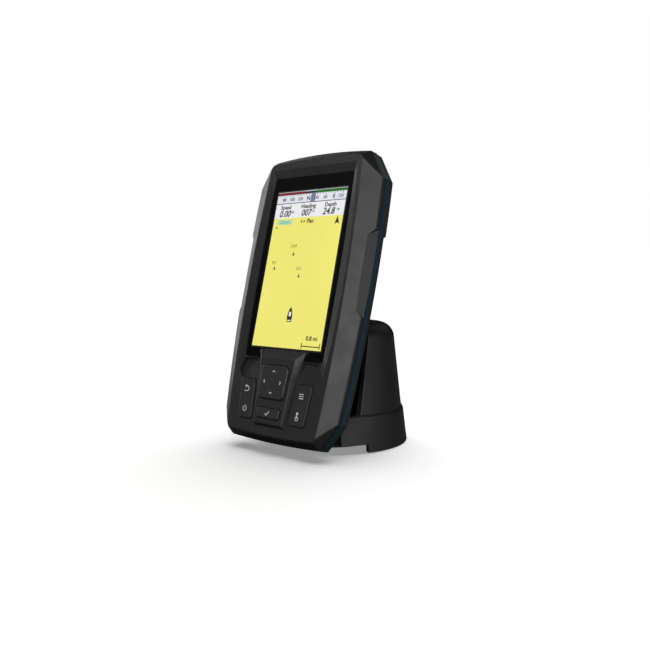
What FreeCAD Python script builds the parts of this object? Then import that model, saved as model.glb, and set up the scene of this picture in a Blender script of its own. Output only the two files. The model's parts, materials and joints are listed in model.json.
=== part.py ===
"""Fish finder: a portrait display unit in a quick-release cradle on a tilt and swivel mount.

World frame: origin on the mounting surface on the swivel axis, +X to the viewer's right,
+Y to the back of the mount, +Z up.  The display unit and its cradle are drawn in a unit
frame (x across, y depth behind the screen, z up the screen) and then leaned back.
All lengths are millimetres.
"""
import FreeCAD, Part
import math
import os

Vector = FreeCAD.Vector

# ---- cutting tools ----
PAST = 1.0                       # a tool reaches this far past the surface that it starts from
THROUGH = 5.0                    # reach of a tool that passes through a thin wall
FAR = 100.0                      # further than any part goes
SAME = 1e-5                      # two coordinates closer than this are equal

# ---- where the unit stands in the world ----
LEAN = 14.66                     # backward lean of the screen, degrees
SCREEN_Y = -29.8                 # screen centre in front of the swivel axis
SCREEN_Z = 105.0                 # screen centre above the mounting surface

# ---- outline of the unit at its parting line ----
TOP_HALF, TOP_Z, CROWN_Z = 36.5, 69.6, 71.6
SIDE_TOP_HALF, SIDE_TOP_Z = 47.4, 52.8
SIDE_MID_HALF, SIDE_MID_Z = 48.3, -12.0
SIDE_LOW_HALF, SIDE_LOW_Z = 44.0, -85.5
BOTTOM_HALF, BOTTOM_Z, BOTTOM_MID_Z = 34.0, -101.2, -102.2
TOP_LEAN_IN, SIDE_LEAN_IN = 0.52, 0.31   # how far the chamfer corners move per mm of inset

# ---- outline of the flat front face ----
FACE_TOP_HALF, FACE_TOP_Z, FACE_CROWN_Z = 34.0, 65.4, 66.6
FACE_SIDE_TOP_HALF, FACE_SIDE_TOP_Z = 35.2, 64.2
FACE_MID_HALF, FACE_MID_Z = 37.9, -8.0
FACE_SIDE_LOW_HALF, FACE_SIDE_LOW_Z = 34.4, -95.4
FACE_LOW_HALF, FACE_LOW_Z, FACE_LOW_MID_Z = 33.2, -97.2, -98.6

# ---- depths of the unit, measured behind the screen ----
FACE_Y = -1.8                    # flat front face
BEVEL_Y = 4.15                   # the bevel meets the side wall
FRONT_BACK_Y = 7.3               # back edge of the front housing
REAR_FRONT_Y = 9.2               # front edge of the rear housing
REAR_WALL_Y = 12.5               # end of the upright side wall
STEP_Z, STEP_DEPTH = 21.0, 1.7   # the wall is deeper above this height
BACK_Y = 18.0                    # flat back
BACK_INSET = 8.0
BACK_LOW_Z = -74.0               # the back slopes forward below this height
BACK_CORNER, BACK_FOOT_OUT = 8.0, 1.5    # chamfer at the foot of the flat back
HUMP_HALF, HUMP_LOW_Z, HUMP_TOP_Z = 26.0, -66.0, 48.0
HUMP_Y, HUMP_DRAFT = 30.0, 3.6   # raised centre of the back
HUMP_FOOT_CUT, HUMP_HEAD_CUT = 4.0, 7.0  # corner chamfers of the hump
HUMP_ROOT, HUMP_CAVITY_ROOT = 2.0, 2.5   # how far the hump and its hollow start inside the back
WALL = 3.0                       # housing wall
BEVEL_WALL_INSET = 8.5           # inset of the front cavity where it meets the front plate
CAVITY_WALL_Y = 5.0              # depth where the front cavity reaches the side wall
SKIN = 2.0                       # thin walls of the hump
CAVITY_SHORT, SLOPE_WALL = 0.6, 2.4      # the rear cavity's slope starts sooner and stands further in
PLATE_Y = 1.8                    # inside face of the front plate
FRONT_EDGE_R, REAR_EDGE_R, ISLAND_EDGE_R = 1.2, 0.6, 0.8    # moulded edge rounding
TRIM_EDGE_R = 0.35               # rounding beside the trim, which leaves a fine groove on each side of it

# ---- grip recess in both side bevels ----
GRIP_PLAN = [(52.0, 27.0), (44.0, 18.5), (44.0, -22.5), (52.0, -31.0)]     # across and up
GRIP_PROFILE = [(44.4, 1.6), (53.0, -4.0), (53.0, 7.0), (48.5, 7.0)]       # across and depth

# ---- lens, display ----
LENS_TOP_HALF, LENS_TOP_Z = 30.4, 56.3
LENS_MID_HALF, LENS_LOW_HALF, LENS_LOW_Z = 31.3, 30.2, -54.2
LENS_CORNER = 1.2
LENS_NOTCH_HALF, LENS_NOTCH_Z = 18.4, -48.9
LENS_NOTCH_FOOT_IN, LENS_NOTCH_FOOT_Z = 1.5, -56.2
LENS_FRONT_Y, LENS_BACK_Y, LENS_GAP = -0.8, 0.0, 0.15
LEDGE_Y = 0.3
ADHESIVE_INSET, ADHESIVE_NOTCH_GAP = 0.4, 0.3
ADHESIVE_WINDOW_HALF, ADHESIVE_WINDOW_HALF_Z = 28.0, 48.6
DISH_TOP_HALF, DISH_TOP_Z = 32.5, 61.5
DISH_MID_HALF, DISH_TIP_HALF, DISH_TIP_Z = 36.7, 33.2, -62.0
DISH_FOOT_HALF, DISH_FOOT_Z = 29.4, -54.8
DISH_FLOOR_Y = -0.7
LCD_HALF, LCD_LOW_Z, LCD_TOP_Z = 29.2, -48.7, 50.4
LCD_BACK_Y, LCD_GAP = 2.3, 0.3
BACKLIGHT_HALF, BACKLIGHT_HALF_Z, BACKLIGHT_BACK_Y = 30.5, 52.0, 5.0
FRAME_HALF, FRAME_LOW_Z, FRAME_TOP_Z, FRAME_BACK_Y = 32.0, -53.5, 54.0, 5.6
FRAME_HOLE_HALF, FRAME_HOLE_HALF_Z = 24.0, 40.0
RIBBON_HALF, RIBBON_LOW_Z, RIBBON_TOP_Z, RIBBON_START = 9.0, -36.0, -12.0, 0.1
SOCKET_HALF, SOCKET_LOW_Z, SOCKET_TOP_Z, SOCKET_T = 10.0, -30.0, -25.0, 0.7

# ---- keypad ----
ISLAND_Y = -4.3
ISLAND_FOOT = [(-17.8, -49.3), (17.8, -49.3), (14.2, -66.0), (12.0, -93.6), (-12.0, -93.6), (-14.2, -66.0)]
ISLAND_TOP = [(-13.2, -54.0), (13.2, -54.0), (12.5, -66.0), (10.9, -91.8), (-10.9, -91.8), (-12.5, -66.0)]
ISLAND_SKIN_Y = -2.2             # underside of the island's skin
ISLAND_SINK = 0.4                # the island's foot starts this far inside the front face
FACET_PLAN = [(18.2, -55.0), (28.6, -55.0), (32.0, -62.4), (28.2, -66.6), (15.0, -66.6)]
FACET_X, FACET_OUT = 15.0, 4.0  # the shoulder facets fall away outwards from here, degrees
FACET_Z, FACET_UP = -66.6, 5.0  # and upwards from here
DPAD = [(-10.7, -58.4), (10.7, -58.4), (9.7, -77.7), (-9.7, -77.7)]
ENTER = [(-9.1, -82.8), (9.1, -82.8), (8.4, -88.7), (-8.4, -88.7)]
SIDE_KEY = [(16.5, -67.4), (27.9, -67.4), (25.5, -90.3), (14.8, -90.3)]
DPAD_TOP_Y, ENTER_TOP_Y, SIDE_KEY_TOP_Y = -5.6, -5.4, -2.7
DPAD_R, ENTER_R, SIDE_KEY_R = 2.6, 1.2, 1.6    # corners of the keys in plan
DPAD_EDGE_R, ENTER_EDGE_R, SIDE_KEY_EDGE_R = 1.0, 0.8, 0.5
DPAD_FLANGE_Y, DPAD_FLANGE_T = -1.1, 0.8
ENTER_FLANGE_Y, ENTER_FLANGE_T = -1.9, 1.0
SIDE_FLANGE_Y, SIDE_FLANGE_T, SIDE_SKIN_Y = 0.6, 0.8, -0.2
DPAD_RING_R, MARK_WIDTH, MARK_DEPTH = 4.7, 0.4, 0.15    # fine moulded marks on the keys
KEY_GAP = 0.35
FLANGE, FLANGE_CLEAR = 0.9, 0.4  # a key's hidden flange reaches past its opening, with room round it
DPAD_MID_Z = -68.0
DPAD_RIDGE = 4.0                 # half length of the ridges that the four-way key rocks on
CAP_AXIS_Y, ROCKER_AXIS_Y = 0.55, 1.45
WEB_HALF, WEB_FRONT_Y = 0.4, -0.5        # web and ridge under the four-way cap
ROCKER_R, ROCKER_FRONT_Y, ROCKER_BACK_Y, ROCKER_RIDGE_R = 5.0, 1.05, 1.65, 0.45
ENTER_STEM_Z, ENTER_STEM_R, ENTER_STEM_FRONT_Y, ENTER_STEM_BACK_Y = -85.75, 1.2, -1.0, 1.1
KEY_AXIS_Z, SIDE_AXIS_Y, SIDE_RIDGE_R = -78.85, 1.1, 0.8    # rocking axis of the side keys
SIDE_RIDGE = (16.3, 25.4)        # ends of the ridge across a side key
SIDE_MARK = (17.8, 23.7)         # ends of the moulded line across a side key
MEMBRANE_Y, MEMBRANE_T = 2.0, 0.8
MEMBRANE_HALF, MEMBRANE_LOW_Z, MEMBRANE_TOP_Z = 30.0, -91.8, -54.5
DOMES = [(0, -61), (0, -75), (-7, -68), (7, -68), (0, -85.75), (20, -72), (20, -86), (-20, -72), (-20, -86)]
DOME_R, DOME_ROOT = 1.8, 0.1
KEYBOARD_Y, KEYBOARD_T = 3.7, 1.2
KEYBOARD_HALF, KEYBOARD_LOW_Z, KEYBOARD_TOP_Z = 29.0, -91.5, -55.0

# ---- electronics; a part on the main board is (x, z, half width, half height, depth) ----
BOARD_Y, BOARD_T = 6.6, 1.6
BOARD_HALF, BOARD_LOW_Z, BOARD_TOP_Z = 30.5, -84.0, 60.0
BOARD_TOP_CORNER, BOARD_FOOT_CORNER, BOARD_FOOT_RISE = 6.0, 5.0, 8.0
BOARD_SCREWS = [(27.0, 52.0), (27.0, -76.0)]
BOARD_HOLE_R, BOARD_SCREW_R, BOARD_SCREW_TIP = 1.2, 1.0, 0.4
BOARD_SCREW_HEAD_R, BOARD_SCREW_HEAD_T = 2.0, 1.4
LINK_HALF, LINK_LOW_Z, LINK_TOP_Z = 8.0, -73.0, -69.0
PROCESSOR = (0, 20, 8, 8, 1.6)
MEMORY_CHIPS = [(-18, 12, 5, 6, 1.2), (-18, 28, 5, 6, 1.2)]
SHIELD_CAN = (-14, -22, 11, 12, 3.6)
CAN_WALL = 0.4
SONAR_CHIPS = [(-18, -22, 4, 4, 1.2), (-9, -22, 2.5, 5, 1.2)]
TRANSFORMER_CORE = (11, -22, 8.5, 9, 13)
COIL_R, COIL_AXIS_RISE, COIL_HALF_LENGTH = 6.2, 6.5, 13.2
CAPACITOR_ROW_Z, CAPACITOR_XS, CAPACITOR_R, CAPACITOR_LENGTH = -42, (-16, -6, 4), 4.0, 11.0
GPS_ANTENNA = (0, 46, 12, 9, 4.5)
BEEPER_SPOT, BEEPER_R, BEEPER_T, BEEPER_HOLE_R, BEEPER_LID = (20, 6), 6.0, 5.0, 1.0, 1.0

# ---- screws, vent and latch pocket of the case ----
CASE_SCREWS = [(35.6, 56.5), (36.8, -2.0), (34.4, -70.0)]
BOSS_R, BOSS_ROOT, BOSS_SHORT = 3.0, 0.5, 0.1
PILOT_R, PILOT_START = 1.25, 1.0
REAR_BOSS_R = 3.4
SCREW_CLEAR_R, SCREW_HEAD_CLEAR_R, SCREW_SEAT = 1.6, 3.0, 4.0
CASE_SCREW_HEAD_R, CASE_SCREW_R, CASE_SCREW_TIP = 2.7, 1.2, 1.6
SCREW_HEAD_T = 2.0
RECESS_HALF, RECESS_SLOT, RECESS_DEPTH = 1.3, 0.3, 0.8      # cross recess in a screw head
TRIM_PROUD, TRIM_DEPTH = 0.1, 1.6
SEAL_OUT, SEAL_IN = 1.7, 2.9
VENT_Z, VENT_HOLE_R, VENT_R, VENT_INSIDE, VENT_PROUD = 38.0, 2.1, 2.0, 1.5, 0.4
VENT_CAP_R, VENT_CAP_T = 3.4, 0.5
POCKET_HALF, POCKET_FLOOR_Y, POCKET_BACK_Y = 5.8, 23.8, 27.5
POCKET_BELOW, POCKET_ABOVE, POCKET_MOUTH_ABOVE = 2.9, 3.7, 2.3
POCKET_PAD_HALF, POCKET_PAD_Y, POCKET_PAD_BELOW, POCKET_PAD_ABOVE = 8.0, 22.0, 4.6, 5.4
GROOVE_ROWS, GROOVE_HALF, GROOVE_DEPTH, GROOVE_HEIGHT = (16, 20, 24, 28, 32), 15.0, 0.9, 1.6

# ---- connector between the unit and the cradle ----
CONNECTOR_Z = -53.0
CONNECTOR_HALF, CONNECTOR_HALF_Z = 12.5, 4.5
CONNECTOR_GAP, CONNECTOR_BACK_SHORT = 0.3, 0.4
MOUTH_WALL, MOUTH_Y = 1.2, 22.5          # open mouth of the unit's connector
PIN_SPOTS = [-7.5, -2.5, 2.5, 7.5]
PIN_R, PIN_TIP_R, PIN_TIP, PIN_START_Y, PIN_END_Y = 0.7, 0.3, 0.8, 16.0, 27.2
CONNECTOR_SEAL_RIM, CONNECTOR_SEAL_T = 1.6, 1.4
PLUG_HALF, PLUG_HALF_Z, PLUG_Y = 10.9, 2.9, 23.2
COLLAR_HALF, COLLAR_RIM, COLLAR_T = 9.4, 1.0, 2.5
SLEEVE_R, SLEEVE_BORE_R, SLEEVE_START_Y, SLEEVE_BORE_END_Y, SLEEVE_END_Y = 1.3, 1.0, 24.0, 30.0, 33.0

# ---- cradle ----
CRADLE_Y, CRADLE_T = 30.6, 3.4
CRADLE_HALF, CRADLE_LOW_Z, CRADLE_TOP_Z, CRADLE_CORNER_R = 29.2, -66.0, 1.0, 5.0
RAIL_T, RAIL_Y, RAIL_SHORT = 2.6, 20.5, 5.0
LUG_HALF, LUG_R = 11.6, 8.6
EAR_T, EAR_SPOTS, EAR_PAST_PIN, EAR_HALF = 2.5, (-10.5, 8.0), 3.2, 3.5
LATCH_WINDOW_HALF, LATCH_WINDOW_BELOW, LATCH_WINDOW_ABOVE = 5.6, 3.5, 2.5
PORT_HALF, PORT_HALF_Z = 11.2, 3.2
TILT_BORE_CLEAR = 0.08
COVER_HALF, COVER_TOP_Z, COVER_DEPTH = 11.4, -47.0, 7.0
COVER_WALL, COVER_FOOT, COVER_CORNER_R, COVER_EDGE_R = 1.6, 0.5, 2.0, 0.8
GLAND_X, GLAND_Z = 5.6, -57.0
GLAND_R, GLAND_NECK_R, GLAND_BORE_R, GLAND_LENGTH, GLAND_EDGE_R = 4.0, 3.2, 2.6, 3.5, 0.7

# ---- release latch ----
LATCH_Z, LATCH_Y = -6.5, 38.5
LATCH_PIN_R, LATCH_PIN_HALF, LATCH_BORE_CLEAR = 1.25, 10.5, 0.06
LATCH_HALF, LATCH_HUB_R = 7.6, 2.7
TOOTH_HALF, TOOTH_TIP_Y, TOOTH_BACK_Y = 5.0, 24.5, 26.6
TOOTH_ARM_HALF, TOOTH_RISE = 0.9, 2.15
TAB_FRONT, TAB_BACK, TAB_RISE = 0.4, 2.7, 19.0              # thumb tab, measured from the pin
PAD_WIDER, PAD_BACK, PAD_LOW, PAD_HIGH, PAD_CORNER_R = 2.0, 3.9, 10.5, 20.0, 2.5
THUMB_GROOVES, THUMB_GROOVE_FLOOR, THUMB_GROOVE_T = (13.0, 15.0, 17.0), 3.4, 1.0
LEAF_HALF, LEAF_T = 2.6, 0.35    # steel leaf that springs the latch
LEAF_FOOT, LEAF_BEND, LEAF_TIP, LEAF_REACH = 3.2, 7.2, 3.8, 0.1
LEAF_INNER_BEND = 1.6            # inside of the bend, in leaf thicknesses below the outside

# ---- tilt joint, in the world frame ----
TILT_Y, TILT_Z = 3.5, 57.0
TILT_BOLT_R, TILT_BOLT_PAST, TILT_HEAD_T, TILT_NUT_T, TILT_FLAT = 3.0, 6.0, 4.0, 4.6, 5.0
CHEEK_IN, CHEEK_T, CHEEK_R = 12.5, 4.0, 9.0
CHEEK_FRONT_Y, CHEEK_BACK_Y, CHEEK_SINK, CHEEK_BORE_CLEAR = -9.0, 20.0, 0.5, 0.1
TILT_WASHER_R, TILT_WASHER_LUG_GAP, TILT_WASHER_CHEEK_GAP, TILT_WASHER_CLEAR = 7.5, 0.12, 0.05, 0.1

# ---- swivelling tower, in the world frame ----
SKIRT_GAP = 0.4                  # running gap above the mounting surface
SKIRT_R_LOW, SKIRT_R_TOP, SKIRT_TOP_Z = 46.9, 44.6, 18.4
SKIRT_WALL = 3.0
DECK_TOP_Z = 21.6
DECK_ARC_R, DECK_ARC_Z = 44.25, 20.2     # middle of the rounded edge of the deck
HOOD_R_LOW, HOOD_R_TOP, HOOD_SHOULDER_Z = 43.3, 38.7, 63.0
HOOD_TOP_R, HOOD_TOP_Z = 29.5, 72.5
HOOD_ARC = (36.2, 69.2)                  # middle of the hood's rounded shoulder, radius and height
HOOD_INNER_ARC, HOOD_INNER_TOP_R = (33.8, 67.2), 28.5
HOOD_WALL, HOOD_EDGE_R = 3.0, 0.6
HOOD_FRONT_Y, HOOD_FRONT_Z, HOOD_FRONT_SLOPE = -20.4, 20.0, 0.21
ROOF_FRONT_Y, ROOF_SLOT_HALF = 5.0, 30.6
FLAT_FRONT_Y, FLAT_WALL = -31.4, 2.4
NOTCH_Z, FRONT_NOTCH, REAR_NOTCH = 5.0, 67.0, 20.0          # notches in the foot of the skirt
SECTOR_STEPS = 4                 # flat pieces on each side of a sector's middle
CABLE_SLOT_HALF, CABLE_SLOT_FRONT_Y, CABLE_SLOT_BACK_Y = 9.0, 31.0, 38.0

# ---- fixed base, in the world frame ----
BASE_R, BASE_FLOOR, BASE_RING_IN, BASE_TOP_Z = 28.0, 4.0, 22.5, 16.9
BASE_HUB_R = 9.0
BASE_RIB_HALF, BASE_RIB_ROOT, BASE_RIB_SHORT = 1.25, 0.5, 4.0
SCREW_CIRCLE_R, SCREW_HOLE_R, SCREW_COUNT = 16.0, 2.3, 4
SCREW_CIRCLE_START = 45.0        # first screw hole, degrees
SWIVEL_BOLT_R, SWIVEL_RUNNING_GAP = 4.0, 0.3
SWIVEL_BOLT_FOOT, SWIVEL_HEAD_R, SWIVEL_HEAD_T = 2.0, 6.5, 3.0
HEX_DRIVE_R, HEX_DRIVE_FLOOR = 3.0, 1.0
SWIVEL_WASHER_R, SWIVEL_WASHER_T = 10.0, 1.0
SWIVEL_RING_INSET = 0.8
INSERT_R, INSERT_FLOOR = 5.6, 1.0


# ------------------------------------------------------------------ helpers
def block(x0, x1, y0, y1, z0, z1):
    return Part.makeBox(x1 - x0, y1 - y0, z1 - z0, Vector(x0, y0, z0))


def rod(axis, centre, radius, low, high):
    """Cylinder along 'x', 'y' or 'z'; centre holds the other two coordinates in order."""
    a, b = centre
    start = {"x": Vector(low, a, b), "y": Vector(a, low, b), "z": Vector(a, b, low)}[axis]
    way = {"x": Vector(1, 0, 0), "y": Vector(0, 1, 0), "z": Vector(0, 0, 1)}[axis]
    return Part.makeCylinder(radius, high - low, start, way)


def polygon_wire(points, y):
    corners = [Vector(x, y, z) for x, z in points]
    return Part.makePolygon(corners + corners[:1])


def prism(wire_or_points, y0, y1):
    """Solid between two depths, from a wire at y0 or a list of (x, z) corners."""
    wire = wire_or_points
    if isinstance(wire, list):
        wire = polygon_wire(wire, y0)
    return Part.Face(wire).extrude(Vector(0, y1 - y0, 0))


def extruded(corners, way):
    """Solid swept from a flat outline of points."""
    return Part.Face(Part.makePolygon(corners + corners[:1])).extrude(way)


def handed(shape, side):
    """The shape itself for the right side, its mirror image for the left."""
    return shape if side > 0 else shape.mirror(Vector(0, 0, 0), Vector(1, 0, 0))


def ruled(wire_a, wire_b):
    return Part.makeLoft([wire_a, wire_b], True, True)


def mirror_x(points):
    return [(-x, z) for x, z in reversed(points)]


def both_sides(spots):
    return [(side * x, z) for x, z in spots for side in (-1, 1)]


def grow(points, amount):
    """Moves each edge of a convex outline outwards by amount."""
    count = len(points)
    turn = sum(points[i][0] * points[(i + 1) % count][1] - points[(i + 1) % count][0] * points[i][1]
               for i in range(count))
    sign = 1.0 if turn > 0 else -1.0
    lines = []
    for i in range(count):
        (x0, z0), (x1, z1) = points[i], points[(i + 1) % count]
        length = math.hypot(x1 - x0, z1 - z0)
        nx, nz = sign * (z1 - z0) / length, -sign * (x1 - x0) / length
        lines.append((nx, nz, nx * x0 + nz * z0 + amount))
    grown = []
    for i in range(count):
        (a, b, c), (d, e, f) = lines[i - 1], lines[i]
        det = a * e - b * d
        grown.append(((c * e - b * f) / det, (a * f - c * d) / det))
    return grown


def round_upright(solid, radius):
    """Rounds the edges that run along the depth of a prism."""
    edges = [e for e in solid.Edges
             if abs(e.Vertexes[0].X - e.Vertexes[-1].X) < SAME
             and abs(e.Vertexes[0].Z - e.Vertexes[-1].Z) < SAME]
    return solid.makeFillet(radius, edges)


def round_front(solid, y, radius):
    """Rounds every edge that lies in the plane at depth y."""
    return solid.makeFillet(radius, [e for e in solid.Edges if in_depth_plane(e, y)])


def soften(solid, radius, chosen):
    """Rounds the edges that chosen picks."""
    rounded = solid.makeFillet(radius, [e for e in solid.Edges if chosen(e)])
    return rounded.Solids[0]


def in_depth_plane(edge, y):
    return all(abs(v.Y - y) < SAME for v in edge.Vertexes)


def joined(shapes):
    whole = shapes[0].fuse(list(shapes[1:])) if len(shapes) > 1 else shapes[0]
    return whole.removeSplitter()


def leaned(shape):
    """Moves a shape from the unit frame into the world frame."""
    placed = shape.copy()
    turn = FreeCAD.Rotation(Vector(1, 0, 0), -LEAN)
    placed.Placement = FreeCAD.Placement(Vector(0, SCREEN_Y, SCREEN_Z), turn).multiply(placed.Placement)
    return placed


def unit_spot(y, z):
    """Depth and height in the unit frame of a world point on the plane x = 0."""
    lean = math.radians(LEAN)
    dy, dz = y - SCREEN_Y, z - SCREEN_Z
    return dy * math.cos(lean) - dz * math.sin(lean), dy * math.sin(lean) + dz * math.cos(lean)


# ------------------------------------------------------------------ unit outlines
def eight_sided(top, side_top, side_mid, side_low, bottom, crown_z, bottom_mid_z, y):
    """Closed outline: crowned top, bowed sides and bottom, straight corner chamfers."""
    def at(point, side=1):
        return Vector(side * point[0], y, point[1])
    edges = [
        Part.Arc(at(top, -1), Vector(0, y, crown_z), at(top)).toShape(),
        Part.makeLine(at(top), at(side_top)),
        Part.Arc(at(side_top), at(side_mid), at(side_low)).toShape(),
        Part.makeLine(at(side_low), at(bottom)),
        Part.Arc(at(bottom), Vector(0, y, bottom_mid_z), at(bottom, -1)).toShape(),
        Part.makeLine(at(bottom, -1), at(side_low, -1)),
        Part.Arc(at(side_low, -1), at(side_mid, -1), at(side_top, -1)).toShape(),
        Part.makeLine(at(side_top, -1), at(top, -1)),
    ]
    return Part.Wire(edges)


def back_outline(inset, y):
    """Edge of the flat back: as the case outline, but its foot stands higher."""
    lift = BACK_LOW_Z - (BOTTOM_Z + BACK_INSET)
    return eight_sided(
        (TOP_HALF - TOP_LEAN_IN * inset, TOP_Z - inset),
        (SIDE_TOP_HALF - inset, SIDE_TOP_Z - SIDE_LEAN_IN * inset),
        (SIDE_MID_HALF - inset, SIDE_MID_Z),
        (SIDE_LOW_HALF - inset + BACK_FOOT_OUT, BOTTOM_Z + inset + lift + BACK_CORNER),
        (BOTTOM_HALF - TOP_LEAN_IN * inset + BACK_FOOT_OUT, BOTTOM_Z + inset + lift),
        CROWN_Z - inset, BOTTOM_MID_Z + inset + lift, y)


def case_outline(inset, y):
    return eight_sided(
        (TOP_HALF - TOP_LEAN_IN * inset, TOP_Z - inset),
        (SIDE_TOP_HALF - inset, SIDE_TOP_Z - SIDE_LEAN_IN * inset),
        (SIDE_MID_HALF - inset, SIDE_MID_Z),
        (SIDE_LOW_HALF - inset, SIDE_LOW_Z + SIDE_LEAN_IN * inset),
        (BOTTOM_HALF - TOP_LEAN_IN * inset, BOTTOM_Z + inset),
        CROWN_Z - inset, BOTTOM_MID_Z + inset, y)


def face_outline(y):
    return eight_sided(
        (FACE_TOP_HALF, FACE_TOP_Z), (FACE_SIDE_TOP_HALF, FACE_SIDE_TOP_Z),
        (FACE_MID_HALF, FACE_MID_Z), (FACE_SIDE_LOW_HALF, FACE_SIDE_LOW_Z),
        (FACE_LOW_HALF, FACE_LOW_Z), FACE_CROWN_Z, FACE_LOW_MID_Z, y)


def bowed(top, mid, tip, foot, y):
    """Lens-like outline: straight top, bowed sides, a short return to a straight foot."""
    def at(point, side=1):
        return Vector(side * point[0], y, point[1])
    return Part.Wire([
        Part.makeLine(at(top, -1), at(top)),
        Part.Arc(at(top), at(mid), at(tip)).toShape(),
        Part.makeLine(at(tip), at(foot)),
        Part.makeLine(at(foot), at(foot, -1)),
        Part.makeLine(at(foot, -1), at(tip, -1)),
        Part.Arc(at(tip, -1), at(mid, -1), at(top, -1)).toShape(),
    ])


def lens_outline(extra, y):
    return bowed((LENS_TOP_HALF + extra, LENS_TOP_Z + extra), (LENS_MID_HALF + extra, 0.0),
                 (LENS_LOW_HALF + extra, LENS_LOW_Z + LENS_CORNER - extra),
                 (LENS_LOW_HALF - LENS_CORNER + extra, LENS_LOW_Z - extra), y)


def lens_notch(gap, y0, y1):
    """The keypad island's shoulders reach up into the foot of the lens."""
    half, top = LENS_NOTCH_HALF + gap, LENS_NOTCH_Z + gap
    foot = half - LENS_NOTCH_FOOT_IN
    return prism([(-half, top), (half, top), (foot, LENS_NOTCH_FOOT_Z), (-foot, LENS_NOTCH_FOOT_Z)], y0, y1)


# ------------------------------------------------------------------ front housing
def dish():
    """Shallow dish round the lens, with pointed lower tips beside the keypad."""
    rim = bowed((DISH_TOP_HALF, DISH_TOP_Z), (DISH_MID_HALF, 0.0), (DISH_TIP_HALF, DISH_TIP_Z),
                (DISH_FOOT_HALF, DISH_FOOT_Z), FACE_Y)
    above = prism(rim, FACE_Y, FACE_Y - PAST)
    floor = lens_outline(LENS_GAP, DISH_FLOOR_Y)
    return above.fuse(ruled(rim, floor))


def island():
    foot_y = FACE_Y + ISLAND_SINK
    mound = ruled(polygon_wire(ISLAND_FOOT, foot_y), polygon_wire(ISLAND_TOP, ISLAND_Y))
    return soften(mound, ISLAND_EDGE_R, lambda edge: not in_depth_plane(edge, foot_y))


def shoulder_facet(side):
    """Shallow facet between the island and the dish tip that falls away outwards and upwards."""
    tool = prism(FACET_PLAN, FACE_Y - PAST, PLATE_Y)
    above = block(-FAR, FAR, -FAR, 0, -FAR, FAR)
    above.rotate(Vector(0, 0, 0), Vector(0, 0, 1), FACET_OUT)
    above.rotate(Vector(0, 0, 0), Vector(1, 0, 0), -FACET_UP)
    above.translate(Vector(FACET_X, FACE_Y, FACET_Z))
    return handed(tool.common(above), side)


def grip_cut(side):
    """Hand grip: the side wall leans inwards over the middle of the unit."""
    reach = prism(GRIP_PLAN, FACE_Y - PAST, FRONT_BACK_Y)
    profile = [Vector(x, y, -FAR) for x, y in GRIP_PROFILE]
    return handed(reach.common(extruded(profile, Vector(0, 0, 2 * FAR))), side)


def key_hole(points, radius, skin_y):
    """Through hole for a key and the wider pocket behind it for the key's flange."""
    hole = round_upright(prism(grow(points, KEY_GAP), ISLAND_Y - PAST, PLATE_Y + PAST), radius + KEY_GAP)
    pocket_plan = grow(points, KEY_GAP + FLANGE + FLANGE_CLEAR)
    pocket = round_upright(prism(pocket_plan, skin_y, PLATE_Y + PAST), radius)
    return hole.fuse(pocket)


def front_outer():
    bevel = ruled(face_outline(FACE_Y), case_outline(0, BEVEL_Y))
    side_wall = prism(case_outline(0, BEVEL_Y), BEVEL_Y, FRONT_BACK_Y)
    whole = soften(joined([bevel, side_wall]), FRONT_EDGE_R,
                   lambda edge: not in_depth_plane(edge, FRONT_BACK_Y))
    return soften(whole, TRIM_EDGE_R, lambda edge: in_depth_plane(edge, FRONT_BACK_Y))


def front_housing():
    shell = front_outer()
    cavity = ruled(case_outline(BEVEL_WALL_INSET, PLATE_Y), case_outline(WALL, CAVITY_WALL_Y)).fuse(
        prism(case_outline(WALL, CAVITY_WALL_Y), CAVITY_WALL_Y, FRONT_BACK_Y))
    above_y = FACE_Y - PAST
    shell = shell.cut([cavity, dish(), prism(lens_outline(LENS_GAP, above_y), above_y, LEDGE_Y)])
    shell = shell.fuse(island()).removeSplitter()
    half = LCD_HALF + LCD_GAP
    window = block(-half, half, above_y, PLATE_Y + PAST, LCD_LOW_Z - LCD_GAP, LCD_TOP_Z + LCD_GAP)
    window = window.cut(prism(ISLAND_FOOT, above_y, PLATE_Y + PAST))
    shell = shell.cut([window, shoulder_facet(1), shoulder_facet(-1), grip_cut(1), grip_cut(-1),
                       key_hole(DPAD, DPAD_R, ISLAND_SKIN_Y), key_hole(ENTER, ENTER_R, ISLAND_SKIN_Y),
                       key_hole(SIDE_KEY, SIDE_KEY_R, SIDE_SKIN_Y),
                       key_hole(mirror_x(SIDE_KEY), SIDE_KEY_R, SIDE_SKIN_Y)])
    for spot in both_sides(CASE_SCREWS):
        shell = shell.fuse(rod("y", spot, BOSS_R, PLATE_Y - BOSS_ROOT, REAR_FRONT_Y - BOSS_SHORT))
    for spot in both_sides(CASE_SCREWS):
        shell = shell.cut(rod("y", spot, PILOT_R, PLATE_Y + PILOT_START, REAR_FRONT_Y))
    return shell


# ------------------------------------------------------------------ rear housing
def hump_outline(inset, draft, y):
    half = HUMP_HALF - inset - draft
    low, top = HUMP_LOW_Z + inset + draft, HUMP_TOP_Z - inset - draft
    foot, head = HUMP_FOOT_CUT, HUMP_HEAD_CUT
    right = [(half - foot, low), (half, low + foot), (half, top - head), (half - head, top)]
    return polygon_wire(right + mirror_x(right), y)


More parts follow.
